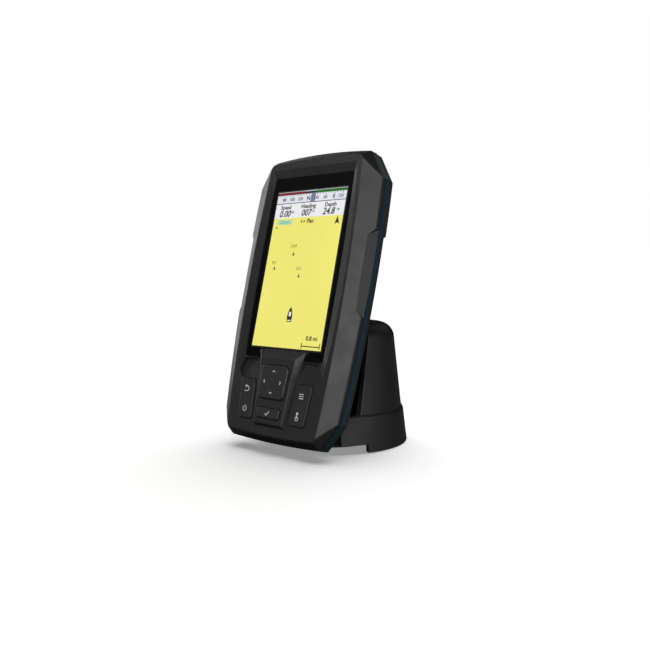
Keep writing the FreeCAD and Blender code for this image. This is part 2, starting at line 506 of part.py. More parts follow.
def rear_outer():
    wall = prism(case_outline(0, REAR_FRONT_Y), REAR_FRONT_Y, REAR_WALL_Y)
    slope = ruled(case_outline(0, REAR_WALL_Y), back_outline(BACK_INSET, BACK_Y))
    deep_wall = prism(case_outline(0, REAR_FRONT_Y), REAR_FRONT_Y, REAR_WALL_Y + STEP_DEPTH)
    deep_slope = ruled(case_outline(0, REAR_WALL_Y + STEP_DEPTH),
                       back_outline(BACK_INSET, BACK_Y + STEP_DEPTH))
    upper = block(-FAR, FAR, 0, FAR, STEP_Z, FAR)
    hump = ruled(hump_outline(0, 0, BACK_Y - HUMP_ROOT), hump_outline(0, HUMP_DRAFT, HUMP_Y))
    whole = joined([wall, slope, deep_wall.fuse(deep_slope).common(upper), hump])
    whole = soften(whole, REAR_EDGE_R, lambda edge: not in_depth_plane(edge, REAR_FRONT_Y))
    return soften(whole, TRIM_EDGE_R, lambda edge: in_depth_plane(edge, REAR_FRONT_Y))


def rear_cavity():
    bend_y = REAR_WALL_Y - CAVITY_SHORT
    flat = prism(case_outline(WALL, REAR_FRONT_Y), REAR_FRONT_Y, bend_y)
    slope = ruled(case_outline(WALL, bend_y), back_outline(BACK_INSET + SLOPE_WALL, BACK_Y - SKIN))
    hump = ruled(hump_outline(SKIN, 0, BACK_Y - HUMP_CAVITY_ROOT),
                 hump_outline(SKIN, HUMP_DRAFT, HUMP_Y - SKIN))
    return flat.fuse([slope, hump])


def latch_pocket():
    """Blind pocket for the latch tooth, undercut above its mouth."""
    half, floor_y, low = POCKET_HALF, POCKET_FLOOR_Y, LATCH_Z - POCKET_BELOW
    inner = block(-half, half, floor_y, POCKET_BACK_Y, low, LATCH_Z + POCKET_ABOVE)
    mouth = block(-half, half, floor_y, HUMP_Y + PAST, low, LATCH_Z + POCKET_MOUTH_ABOVE)
    return inner.fuse(mouth)


def back_grooves():
    """Moulded grooves across the upper part of the hump."""
    return [block(-GROOVE_HALF, GROOVE_HALF, HUMP_Y - GROOVE_DEPTH, HUMP_Y + PAST, z, z + GROOVE_HEIGHT)
            for z in GROOVE_ROWS]


def rear_housing():
    outer = rear_outer()
    shell = outer.cut(rear_cavity())
    shell = shell.fuse(block(-POCKET_PAD_HALF, POCKET_PAD_HALF, POCKET_PAD_Y, HUMP_Y - PAST,
                             LATCH_Z - POCKET_PAD_BELOW, LATCH_Z + POCKET_PAD_ABOVE))
    bosses = [rod("y", spot, REAR_BOSS_R, REAR_FRONT_Y, BACK_Y - PAST) for spot in both_sides(CASE_SCREWS)]
    shell = shell.fuse([boss.common(outer) for boss in bosses])
    half, half_z = CONNECTOR_HALF + CONNECTOR_GAP, CONNECTOR_HALF_Z + CONNECTOR_GAP
    inside_y, outside_y = HUMP_Y - THROUGH, HUMP_Y + PAST
    opening = block(-half, half, inside_y, outside_y, CONNECTOR_Z - half_z, CONNECTOR_Z + half_z)
    vent_hole = rod("y", (0, VENT_Z), VENT_HOLE_R, inside_y, outside_y)
    tools = [latch_pocket(), opening, vent_hole] + back_grooves()
    for spot in both_sides(CASE_SCREWS):
        tools.append(rod("y", spot, SCREW_CLEAR_R, REAR_FRONT_Y - PAST, BACK_Y + THROUGH))
        tools.append(rod("y", spot, SCREW_HEAD_CLEAR_R, BACK_Y - SCREW_SEAT, BACK_Y + THROUGH))
    return shell.cut(tools)


# ------------------------------------------------------------------ trim, seal, screws
def ring(outer, inner, y0, y1):
    return prism(case_outline(outer, y0), y0, y1).cut(prism(case_outline(inner, y0), y0, y1))


def accent_trim():
    return ring(-TRIM_PROUD, TRIM_DEPTH, FRONT_BACK_Y, REAR_FRONT_Y)


def housing_seal():
    return ring(SEAL_OUT, SEAL_IN, FRONT_BACK_Y, REAR_FRONT_Y)


def screw(spot, head_r, head_y, head_t, shank_r, tip_y):
    """Pan-head screw along the depth, head at the back, with a cross recess."""
    x, z = spot
    top_y = head_y + head_t
    body = rod("y", spot, shank_r, tip_y, head_y).fuse(rod("y", spot, head_r, head_y, top_y))
    slots = [block(x - half_x, x + half_x, top_y - RECESS_DEPTH, top_y + PAST, z - half_z, z + half_z)
             for half_x, half_z in ((RECESS_SLOT, RECESS_HALF), (RECESS_HALF, RECESS_SLOT))]
    return body.cut(slots)


def housing_screws():
    return Part.makeCompound([screw(spot, CASE_SCREW_HEAD_R, BACK_Y - SCREW_SEAT, SCREW_HEAD_T,
                                    CASE_SCREW_R, PLATE_Y + CASE_SCREW_TIP)
                              for spot in both_sides(CASE_SCREWS)])


# ------------------------------------------------------------------ lens and display
def display_lens():
    glass = prism(lens_outline(0, LENS_FRONT_Y), LENS_FRONT_Y, LENS_BACK_Y)
    return glass.cut(lens_notch(0, LENS_FRONT_Y - PAST, LENS_BACK_Y + PAST))


def lens_adhesive():
    half, half_z = ADHESIVE_WINDOW_HALF, ADHESIVE_WINDOW_HALF_Z
    tape = prism(lens_outline(-ADHESIVE_INSET, LENS_BACK_Y), LENS_BACK_Y, LEDGE_Y)
    tape = tape.cut(lens_notch(ADHESIVE_NOTCH_GAP, LENS_BACK_Y - PAST, LEDGE_Y + PAST))
    return tape.cut(block(-half, half, LENS_BACK_Y - PAST, LEDGE_Y + PAST, -half_z, half_z))


def lcd_panel():
    return block(-LCD_HALF, LCD_HALF, LEDGE_Y, LCD_BACK_Y, LCD_LOW_Z, LCD_TOP_Z)


def lcd_backlight():
    return block(-BACKLIGHT_HALF, BACKLIGHT_HALF, LCD_BACK_Y, BACKLIGHT_BACK_Y,
                 -BACKLIGHT_HALF_Z, BACKLIGHT_HALF_Z)


def lcd_frame():
    plate = block(-FRAME_HALF, FRAME_HALF, BACKLIGHT_BACK_Y, FRAME_BACK_Y, FRAME_LOW_Z, FRAME_TOP_Z)
    hole = block(-FRAME_HOLE_HALF, FRAME_HOLE_HALF, BACKLIGHT_BACK_Y - PAST, FRAME_BACK_Y + PAST,
                 -FRAME_HOLE_HALF_Z, FRAME_HOLE_HALF_Z)
    return plate.cut(hole)


def lcd_ribbon():
    """Flat flexible cable: from the foot of the backlight through the frame to the board."""
    return block(-RIBBON_HALF, RIBBON_HALF, BACKLIGHT_BACK_Y + RIBBON_START, BOARD_Y - SOCKET_T,
                 RIBBON_LOW_Z, RIBBON_TOP_Z)


def ribbon_socket():
    return block(-SOCKET_HALF, SOCKET_HALF, BOARD_Y - SOCKET_T, BOARD_Y, SOCKET_LOW_Z, SOCKET_TOP_Z)


# ------------------------------------------------------------------ keys
def key_cap(points, radius, edge_r, top_y, flange_y, flange_t):
    cap = round_front(round_upright(prism(points, top_y, flange_y), radius), top_y, edge_r)
    flange = round_upright(prism(grow(points, FLANGE), flange_y, flange_y + flange_t), radius)
    return cap.fuse(flange).removeSplitter()


def dpad_cap():
    """Four-way cap; it rocks left and right on the round ridge under it."""
    low, high = DPAD_MID_Z - DPAD_RIDGE, DPAD_MID_Z + DPAD_RIDGE
    web = block(-WEB_HALF, WEB_HALF, WEB_FRONT_Y, CAP_AXIS_Y, low, high)
    cap = key_cap(DPAD, DPAD_R, DPAD_EDGE_R, DPAD_TOP_Y, DPAD_FLANGE_Y, DPAD_FLANGE_T)
    above_y, floor_y = DPAD_TOP_Y - PAST, DPAD_TOP_Y + MARK_DEPTH
    middle = (0, DPAD_MID_Z)
    ring_mark = rod("y", middle, DPAD_RING_R + MARK_WIDTH / 2, above_y, floor_y).cut(
        rod("y", middle, DPAD_RING_R - MARK_WIDTH / 2, above_y, floor_y))
    return joined([cap, web, rod("z", (0, CAP_AXIS_Y), WEB_HALF, low, high)]).cut(ring_mark)


def dpad_rocker_plate():
    """Disc under the four-way cap; it rocks up and down on its own ridge."""
    plate = rod("y", (0, DPAD_MID_Z), ROCKER_R, ROCKER_FRONT_Y, ROCKER_BACK_Y)
    ridge = rod("x", (ROCKER_AXIS_Y, DPAD_MID_Z), ROCKER_RIDGE_R, -DPAD_RIDGE, DPAD_RIDGE)
    return plate.fuse(ridge).removeSplitter()


def enter_key():
    cap = key_cap(ENTER, ENTER_R, ENTER_EDGE_R, ENTER_TOP_Y, ENTER_FLANGE_Y, ENTER_FLANGE_T)
    stem = rod("y", (0, ENTER_STEM_Z), ENTER_STEM_R, ENTER_STEM_FRONT_Y, ENTER_STEM_BACK_Y)
    return cap.fuse(stem).removeSplitter()


def side_key(side):
    """Two-way key; it rocks on the round ridge across its underside."""
    cap = key_cap(SIDE_KEY, SIDE_KEY_R, SIDE_KEY_EDGE_R, SIDE_KEY_TOP_Y, SIDE_FLANGE_Y, SIDE_FLANGE_T)
    ridge = rod("x", (SIDE_AXIS_Y, KEY_AXIS_Z), SIDE_RIDGE_R, *SIDE_RIDGE)
    half_mark = MARK_WIDTH / 2
    mark = block(*SIDE_MARK, SIDE_KEY_TOP_Y - PAST, SIDE_KEY_TOP_Y + MARK_DEPTH,
                 KEY_AXIS_Z - half_mark, KEY_AXIS_Z + half_mark)
    return handed(joined([cap, ridge]).cut(mark), side)


def keypad_membrane():
    """Sealing sheet behind the keys, with one switch dome for every press."""
    back = MEMBRANE_Y + MEMBRANE_T
    sheet = block(-MEMBRANE_HALF, MEMBRANE_HALF, MEMBRANE_Y, back, MEMBRANE_LOW_Z, MEMBRANE_TOP_Z)
    domes = [rod("y", spot, DOME_R, back - DOME_ROOT, KEYBOARD_Y) for spot in DOMES]
    return sheet.fuse(domes).removeSplitter()


def keypad_board():
    return block(-KEYBOARD_HALF, KEYBOARD_HALF, KEYBOARD_Y, KEYBOARD_Y + KEYBOARD_T,
                 KEYBOARD_LOW_Z, KEYBOARD_TOP_Z)


# ------------------------------------------------------------------ main electronics
def main_circuit_board():
    half, foot, rise, corner = BOARD_HALF, BOARD_FOOT_CORNER, BOARD_FOOT_RISE, BOARD_TOP_CORNER
    low, top = BOARD_LOW_Z, BOARD_TOP_Z
    plan = [(-half, low + rise), (foot - half, low), (half - foot, low), (half, low + rise),
            (half, top - corner), (half - corner, top), (corner - half, top), (-half, top - corner)]
    board = prism(plan, BOARD_Y, BOARD_Y + BOARD_T)
    return board.cut([rod("y", spot, BOARD_HOLE_R, 0, FAR) for spot in both_sides(BOARD_SCREWS)])


def board_screws():
    return Part.makeCompound([screw(spot, BOARD_SCREW_HEAD_R, BOARD_Y + BOARD_T, BOARD_SCREW_HEAD_T,
                                    BOARD_SCREW_R, BOARD_Y - BOARD_SCREW_TIP)
                              for spot in both_sides(BOARD_SCREWS)])


def board_link():
    return block(-LINK_HALF, LINK_HALF, KEYBOARD_Y + KEYBOARD_T, BOARD_Y, LINK_LOW_Z, LINK_TOP_Z)


def on_board(x, z, half_x, half_z, height):
    back = BOARD_Y + BOARD_T
    return block(x - half_x, x + half_x, back, back + height, z - half_z, z + half_z)


def processor():
    return on_board(*PROCESSOR)


def memory_chips():
    return Part.makeCompound([on_board(*chip) for chip in MEMORY_CHIPS])


def shield_can():
    """Thin tin lid over the sonar chips, open towards the board."""
    x, z, half_x, half_z, height = SHIELD_CAN
    hollow = on_board(x, z, half_x - CAN_WALL, half_z - CAN_WALL, height - CAN_WALL)
    return on_board(*SHIELD_CAN).cut(hollow)


def sonar_chips():
    return Part.makeCompound([on_board(*chip) for chip in SONAR_CHIPS])


def sonar_transformer():
    x, z = TRANSFORMER_CORE[:2]
    axis_y = BOARD_Y + BOARD_T + COIL_AXIS_RISE
    coil = rod("z", (x, axis_y), COIL_R, z - COIL_HALF_LENGTH, z + COIL_HALF_LENGTH)
    return on_board(*TRANSFORMER_CORE).fuse(coil).removeSplitter()


def capacitors():
    back = BOARD_Y + BOARD_T
    return Part.makeCompound([rod("y", (x, CAPACITOR_ROW_Z), CAPACITOR_R, back, back + CAPACITOR_LENGTH)
                              for x in CAPACITOR_XS])


def gps_antenna():
    return on_board(*GPS_ANTENNA)


def beeper():
    back = BOARD_Y + BOARD_T
    top = back + BEEPER_T
    sounder = rod("y", BEEPER_SPOT, BEEPER_R, back, top)
    return sounder.cut(rod("y", BEEPER_SPOT, BEEPER_HOLE_R, top - BEEPER_LID, top + PAST))


# ------------------------------------------------------------------ connector of the unit
def connector_block():
    back = BOARD_Y + BOARD_T
    half, high = CONNECTOR_HALF, CONNECTOR_HALF_Z
    body = block(-half, half, back, HUMP_Y - CONNECTOR_BACK_SHORT, CONNECTOR_Z - high, CONNECTOR_Z + high)
    inner, inner_high = half - MOUTH_WALL, high - MOUTH_WALL
    mouth = block(-inner, inner, MOUTH_Y, HUMP_Y + PAST, CONNECTOR_Z - inner_high, CONNECTOR_Z + inner_high)
    holes = [rod("y", (x, CONNECTOR_Z), PIN_R, PIN_START_Y, MOUTH_Y) for x in PIN_SPOTS]
    return body.cut([mouth] + holes)


def contact_pins():
    pins = []
    for x in PIN_SPOTS:
        pin = rod("y", (x, CONNECTOR_Z), PIN_R, PIN_START_Y, PIN_END_Y)
        tip = Part.makeCone(PIN_R, PIN_TIP_R, PIN_TIP, Vector(x, PIN_END_Y, CONNECTOR_Z), Vector(0, 1, 0))
        pins.append(pin.fuse(tip).removeSplitter())
    return Part.makeCompound(pins)


def connector_seal():
    """Gasket inside the hump round the connector."""
    half, high = CONNECTOR_HALF, CONNECTOR_HALF_Z
    wide, tall = half + CONNECTOR_SEAL_RIM, high + CONNECTOR_SEAL_RIM
    back = HUMP_Y - SKIN
    outer = block(-wide, wide, back - CONNECTOR_SEAL_T, back, CONNECTOR_Z - tall, CONNECTOR_Z + tall)
    return outer.cut(block(-half, half, 0, FAR, CONNECTOR_Z - high, CONNECTOR_Z + high))


def vent_plug():
    """Breathable pressure plug in the back of the hump."""
    plug = rod("y", (0, VENT_Z), VENT_R, HUMP_Y - SKIN - VENT_INSIDE, HUMP_Y + VENT_PROUD)
    cap = rod("y", (0, VENT_Z), VENT_CAP_R, HUMP_Y, HUMP_Y + VENT_CAP_T)
    return plug.fuse(cap).removeSplitter()


# ------------------------------------------------------------------ cradle
def cradle():
    back = CRADLE_Y + CRADLE_T
    tilt_y, tilt_z = unit_spot(TILT_Y, TILT_Z)
    plate = block(-CRADLE_HALF, CRADLE_HALF, CRADLE_Y, back, CRADLE_LOW_Z, CRADLE_TOP_Z)
    rail = block(CRADLE_HALF - RAIL_T, CRADLE_HALF, RAIL_Y, back, CRADLE_LOW_Z + RAIL_SHORT,
                 CRADLE_TOP_Z - RAIL_SHORT)
    lug = rod("x", (tilt_y, tilt_z), LUG_R, -LUG_HALF, LUG_HALF)
    neck = block(-LUG_HALF, LUG_HALF, back - PAST, tilt_y, tilt_z - LUG_R, tilt_z + LUG_R)
    ears = [block(x, x + EAR_T, back - PAST, LATCH_Y + EAR_PAST_PIN, LATCH_Z - EAR_HALF, LATCH_Z + EAR_HALF)
            for x in EAR_SPOTS]
    body = joined([round_upright(plate, CRADLE_CORNER_R), lug, neck, handed(rail, -1), rail] + ears)
    front_y, back_y = CRADLE_Y - PAST, back + PAST
    window = block(-LATCH_WINDOW_HALF, LATCH_WINDOW_HALF, front_y, back_y,
                   LATCH_Z - LATCH_WINDOW_BELOW, LATCH_Z + LATCH_WINDOW_ABOVE)
    port = block(-PORT_HALF, PORT_HALF, front_y, back_y,
                 CONNECTOR_Z - PORT_HALF_Z, CONNECTOR_Z + PORT_HALF_Z)
    bore = rod("x", (tilt_y, tilt_z), TILT_BOLT_R + TILT_BORE_CLEAR, -FAR, FAR)
    pin_bore = rod("x", (LATCH_Y, LATCH_Z), LATCH_PIN_R, -FAR, FAR)
    return body.cut([window, port, bore, pin_bore])


def cradle_connector():
    half, high = PLUG_HALF, PLUG_HALF_Z
    back, tall = CRADLE_Y + CRADLE_T, PLUG_HALF_Z + COLLAR_RIM
    plug = block(-half, half, PLUG_Y, back, CONNECTOR_Z - high, CONNECTOR_Z + high)
    collar = block(-COLLAR_HALF, COLLAR_HALF, back, back + COLLAR_T, CONNECTOR_Z - tall, CONNECTOR_Z + tall)
    holes = [rod("y", (x, CONNECTOR_Z), SLEEVE_R, PLUG_Y - PAST, SLEEVE_END_Y) for x in PIN_SPOTS]
    return plug.fuse(collar).cut(holes)


def contact_sockets():
    """Spring sleeves that receive the unit's pins."""
    sleeves = []
    for x in PIN_SPOTS:
        sleeve = rod("y", (x, CONNECTOR_Z), SLEEVE_R, SLEEVE_START_Y, SLEEVE_END_Y)
        bore = rod("y", (x, CONNECTOR_Z), SLEEVE_BORE_R, SLEEVE_START_Y - PAST, SLEEVE_BORE_END_Y)
        sleeves.append(sleeve.cut(bore))
    return Part.makeCompound(sleeves)


def cradle_cover():
    """Wiring cover behind the connector, open towards the cradle plate."""
    front = CRADLE_Y + CRADLE_T
    back, low = front + COVER_DEPTH, CRADLE_LOW_Z + COVER_FOOT
    shell = round_upright(block(-COVER_HALF, COVER_HALF, front, back, low, COVER_TOP_Z), COVER_CORNER_R)
    shell = round_front(shell, back, COVER_EDGE_R)
    inner = COVER_HALF - COVER_WALL
    hollow = block(-inner, inner, front, back - COVER_WALL, low + COVER_WALL, COVER_TOP_Z - COVER_WALL)
    ports = [rod("y", (side * GLAND_X, GLAND_Z), GLAND_NECK_R, front, back + PAST) for side in (-1, 1)]
    return shell.cut([hollow] + ports)


def cable_gland(side):
    """Moulded inlet collar for one cable, in the back wall of the wiring cover."""
    back = CRADLE_Y + CRADLE_T + COVER_DEPTH
    centre = (side * GLAND_X, GLAND_Z)
    collar = rod("y", centre, GLAND_R, back, back + GLAND_LENGTH)
    neck = rod("y", centre, GLAND_NECK_R, back - COVER_WALL, back)
    bore = rod("y", centre, GLAND_BORE_R, 0, FAR)
    return round_front(joined([collar, neck]), back + GLAND_LENGTH, GLAND_EDGE_R).cut(bore)


# ------------------------------------------------------------------ release latch
def release_latch():
    pin_line = (LATCH_Y, LATCH_Z)
    hub = rod("x", pin_line, LATCH_HUB_R, -LATCH_HALF, LATCH_HALF)
    arm_low, arm_high = LATCH_Z - TOOTH_ARM_HALF, LATCH_Z + TOOTH_ARM_HALF
    arm = block(-TOOTH_HALF, TOOTH_HALF, TOOTH_TIP_Y, LATCH_Y, arm_low, arm_high)
    barb = block(-TOOTH_HALF, TOOTH_HALF, TOOTH_TIP_Y, TOOTH_BACK_Y, arm_low, LATCH_Z + TOOTH_RISE)
    tab = block(-LATCH_HALF, LATCH_HALF, LATCH_Y + TAB_FRONT, LATCH_Y + TAB_BACK,
                LATCH_Z, LATCH_Z + TAB_RISE)
    pad_half = LATCH_HALF + PAD_WIDER
    pad = round_upright(block(-pad_half, pad_half, LATCH_Y + TAB_FRONT, LATCH_Y + PAD_BACK,
                              LATCH_Z + PAD_LOW, LATCH_Z + PAD_HIGH), PAD_CORNER_R)
    grooves = [block(-LATCH_HALF, LATCH_HALF, LATCH_Y + THUMB_GROOVE_FLOOR, LATCH_Y + THROUGH,
                     LATCH_Z + z, LATCH_Z + z + THUMB_GROOVE_T) for z in THUMB_GROOVES]
    pin_bore = rod("x", pin_line, LATCH_PIN_R + LATCH_BORE_CLEAR, -FAR, FAR)
    return joined([hub, arm, barb, tab, pad]).cut(grooves + [pin_bore])


def latch_pin():
    return rod("x", (LATCH_Y, LATCH_Z), LATCH_PIN_R, -LATCH_PIN_HALF, LATCH_PIN_HALF)


def latch_spring():
    """Bent steel leaf: its foot lies on the cradle plate and its arm pushes the latch tab."""
    foot_y, tip_y = CRADLE_Y + CRADLE_T, LATCH_Y + LEAF_REACH
    foot_z, bend_z, tip_z = LATCH_Z + LEAF_FOOT, LATCH_Z + LEAF_BEND, LATCH_Z + LEAF_TIP
    inside = bend_z - LEAF_INNER_BEND * LEAF_T
    corners = [Vector(-LEAF_HALF, y, z) for y, z in (
        (foot_y, foot_z), (foot_y, bend_z), (foot_y + LEAF_T, bend_z), (tip_y, tip_z + LEAF_T),
        (tip_y, tip_z), (foot_y + LEAF_T, inside), (foot_y + LEAF_T, foot_z))]
    return extruded(corners, Vector(2 * LEAF_HALF, 0, 0))


# ------------------------------------------------------------------ tilt joint, world frame
def six_corners(reach):
    """Corners of a hexagon round the origin, in its own plane."""
    angles = [math.radians(60 * i) for i in range(6)]
    return [(reach * math.cos(a), reach * math.sin(a)) for a in angles]


def hexagon(x0, x1):
    """Hexagonal prism along X, centred on the tilt axis."""
    reach = TILT_FLAT / math.cos(math.radians(30))
    corners = [Vector(x0, TILT_Y + a, TILT_Z + b) for a, b in six_corners(reach)]
    return extruded(corners, Vector(x1 - x0, 0, 0))


def tilt_bolt():
    outer = CHEEK_IN + CHEEK_T
    shank = rod("x", (TILT_Y, TILT_Z), TILT_BOLT_R, -outer - TILT_BOLT_PAST, outer)
    return shank.fuse(hexagon(outer, outer + TILT_HEAD_T)).removeSplitter()


def tilt_nut():
    outer = CHEEK_IN + CHEEK_T
    return hexagon(-outer - TILT_NUT_T, -outer).cut(rod("x", (TILT_Y, TILT_Z), TILT_BOLT_R, -FAR, FAR))


def tilt_washers():
    """Friction washers between the cradle lug and the tower cheeks."""
    bore = rod("x", (TILT_Y, TILT_Z), TILT_BOLT_R + TILT_WASHER_CLEAR, -FAR, FAR)
    inner, outer = LUG_HALF + TILT_WASHER_LUG_GAP, CHEEK_IN - TILT_WASHER_CHEEK_GAP
    washer = rod("x", (TILT_Y, TILT_Z), TILT_WASHER_R, inner, outer).cut(bore)
    return Part.makeCompound([handed(washer, -1), washer])


# ------------------------------------------------------------------ tower, world frame
def turned(points):
    """Solid of revolution about Z from (radius, z) points; an item of four numbers is an arc, its
    middle point and then its end."""
    edges = []
    last = points[0]
    for item in points[1:]:
        if len(item) == 4:
            middle, end = item[:2], item[2:]
            edges.append(Part.Arc(Vector(last[0], 0, last[1]), Vector(middle[0], 0, middle[1]),
                                  Vector(end[0], 0, end[1])).toShape())
            last = end
        else:
            edges.append(Part.makeLine(Vector(last[0], 0, last[1]), Vector(item[0], 0, item[1])))
            last = item
    edges.append(Part.makeLine(Vector(last[0], 0, last[1]), Vector(points[0][0], 0, points[0][1])))
    return Part.Face(Part.Wire(edges)).revolve(Vector(0, 0, 0), Vector(0, 0, 1), 360)


def skirt_radius(z):
    return SKIRT_R_LOW + (SKIRT_R_TOP - SKIRT_R_LOW) * z / SKIRT_TOP_Z


def sector(half_angle, centre_angle, z0, z1):
    """Wedge about Z; angles in degrees, 0 is the front (-Y)."""
    angles = [math.radians(centre_angle + half_angle * k / SECTOR_STEPS)
              for k in range(-SECTOR_STEPS, SECTOR_STEPS + 1)]
    corners = [Vector(0, 0, z0)] + [Vector(FAR * math.sin(a), -FAR * math.cos(a), z0) for a in angles]
    return extruded(corners, Vector(0, 0, z1 - z0))


def skirt_and_deck():
    low = SKIRT_GAP
    outer = turned([(0, low), (skirt_radius(low), low), (SKIRT_R_TOP, SKIRT_TOP_Z),
                    (DECK_ARC_R, DECK_ARC_Z, HOOD_R_LOW, DECK_TOP_Z), (0, DECK_TOP_Z)])
    inner = turned([(0, low - PAST), (skirt_radius(low) - SKIRT_WALL, low - PAST),
                    (SKIRT_R_TOP - SKIRT_WALL, SKIRT_TOP_Z), (0, SKIRT_TOP_Z)])
    flat = block(-FAR, FAR, -FAR, FLAT_FRONT_Y, -PAST, DECK_TOP_Z + PAST)
    behind = block(-FAR, FAR, FLAT_FRONT_Y + FLAT_WALL, FAR, -PAST, DECK_TOP_Z + PAST)
    skirt = outer.cut([flat, inner.common(behind)])
    return skirt.cut([sector(FRONT_NOTCH, 0, -PAST, NOTCH_Z), sector(REAR_NOTCH, 180, -PAST, NOTCH_Z)])


def hood():
    wall, low, top = HOOD_WALL, DECK_TOP_Z - PAST, HOOD_TOP_Z
    outer = turned([(0, low), (HOOD_R_LOW, low), (HOOD_R_TOP, HOOD_SHOULDER_Z),
                    (*HOOD_ARC, HOOD_TOP_R, top), (0, top)])
    inner = turned([(0, low - PAST), (HOOD_R_LOW - wall, low - PAST), (HOOD_R_TOP - wall, HOOD_SHOULDER_Z),
                    (*HOOD_INNER_ARC, HOOD_INNER_TOP_R, top - wall), (0, top - wall)])
    front = [Vector(-FAR, y, z) for y, z in (
        (-FAR, HOOD_FRONT_Z), (HOOD_FRONT_Y, HOOD_FRONT_Z),
        (HOOD_FRONT_Y + HOOD_FRONT_SLOPE * FAR, HOOD_FRONT_Z + FAR), (-FAR, HOOD_FRONT_Z + FAR))]
    opening = extruded(front, Vector(2 * FAR, 0, 0))
    roof_slot = block(-ROOF_SLOT_HALF, ROOF_SLOT_HALF, -FAR, ROOF_FRONT_Y, low - PAST, FAR)
    return soften(outer.cut([inner, opening, roof_slot]), HOOD_EDGE_R,
                  lambda edge: all(v.Z > DECK_TOP_Z + SAME for v in edge.Vertexes))


def cheek(side):
    """Upright plate on the deck that carries one end of the tilt bolt."""
    x0 = CHEEK_IN if side > 0 else -CHEEK_IN - CHEEK_T
    foot_z = DECK_TOP_Z - CHEEK_SINK
    outline = [Vector(x0, y, z) for y, z in (
        (CHEEK_FRONT_Y, foot_z), (CHEEK_BACK_Y, foot_z),
        (TILT_Y + CHEEK_R, TILT_Z), (TILT_Y - CHEEK_R, TILT_Z))]
    plate = extruded(outline, Vector(CHEEK_T, 0, 0))
    return plate.fuse(rod("x", (TILT_Y, TILT_Z), CHEEK_R, x0, x0 + CHEEK_T))


def tower():
    body = joined([skirt_and_deck(), hood(), cheek(-1), cheek(1)])
    low, high = SKIRT_TOP_Z - PAST, DECK_TOP_Z + PAST
    slot = block(-CABLE_SLOT_HALF, CABLE_SLOT_HALF, CABLE_SLOT_FRONT_Y, CABLE_SLOT_BACK_Y, low, high)
    swivel_bore = rod("z", (0, 0), SWIVEL_BOLT_R + SWIVEL_RUNNING_GAP, low, high)
    cheek_reach = CHEEK_IN + CHEEK_T + PAST
    tilt_bore = rod("x", (TILT_Y, TILT_Z), TILT_BOLT_R + CHEEK_BORE_CLEAR, -cheek_reach, cheek_reach)
    return body.cut([swivel_bore, slot, tilt_bore])


# ------------------------------------------------------------------ swivel joint and base, world frame
def swivel_ring():
    """Low-friction ring that the deck turns on."""
    low, high = BASE_TOP_Z, SKIRT_TOP_Z - SWIVEL_RUNNING_GAP
    outer, inner = BASE_R - SWIVEL_RING_INSET, BASE_RING_IN + SWIVEL_RING_INSET
    return rod("z", (0, 0), outer, low, high).cut(rod("z", (0, 0), inner, low, high))


def swivel_washer():
    low = DECK_TOP_Z + SWIVEL_RUNNING_GAP
    high = low + SWIVEL_WASHER_T
    return rod("z", (0, 0), SWIVEL_WASHER_R, low, high).cut(rod("z", (0, 0), SWIVEL_BOLT_R, low, high))


def swivel_bolt():
    head_z = DECK_TOP_Z + SWIVEL_RUNNING_GAP + SWIVEL_WASHER_T
    shank = rod("z", (0, 0), SWIVEL_BOLT_R, BASE_FLOOR + SWIVEL_BOLT_FOOT, head_z)
    head = rod("z", (0, 0), SWIVEL_HEAD_R, head_z, head_z + SWIVEL_HEAD_T)
    drive = [Vector(x, y, head_z + HEX_DRIVE_FLOOR) for x, y in six_corners(HEX_DRIVE_R)]
    return shank.fuse(head).cut(extruded(drive, Vector(0, 0, THROUGH))).removeSplitter()


def base_insert():
    """Threaded brass insert in the hub of the base."""
    low, high = BASE_FLOOR + INSERT_FLOOR, BASE_TOP_Z
    bore = rod("z", (0, 0), SWIVEL_BOLT_R, low + INSERT_FLOOR, high)
    return rod("z", (0, 0), INSERT_R, low, high).cut(bore)


def mount_base():
    plate = rod("z", (0, 0), BASE_R, 0, BASE_TOP_Z)
    moat = rod("z", (0, 0), BASE_RING_IN, BASE_FLOOR, BASE_TOP_Z).cut(rod("z", (0, 0), BASE_HUB_R, 0, FAR))
    rib = block(-BASE_RIB_HALF, BASE_RIB_HALF, BASE_HUB_R - BASE_RIB_ROOT, BASE_RING_IN + BASE_RIB_ROOT,
                BASE_FLOOR - BASE_RIB_ROOT, BASE_TOP_Z - BASE_RIB_SHORT)
    ribs = []
    cuts = [rod("z", (0, 0), INSERT_R, BASE_FLOOR + INSERT_FLOOR, BASE_TOP_Z + PAST)]
    for index in range(SCREW_COUNT):
        turn = 360.0 * index / SCREW_COUNT
        turned_rib = rib.copy()
        turned_rib.rotate(Vector(0, 0, 0), Vector(0, 0, 1), turn)
        ribs.append(turned_rib)
        angle = math.radians(SCREW_CIRCLE_START + turn)
        spot = (SCREW_CIRCLE_R * math.cos(angle), SCREW_CIRCLE_R * math.sin(angle))
        cuts.append(rod("z", spot, SCREW_HOLE_R, -PAST, BASE_FLOOR + PAST))
    return joined([plate.cut(moat)] + ribs).cut(cuts)


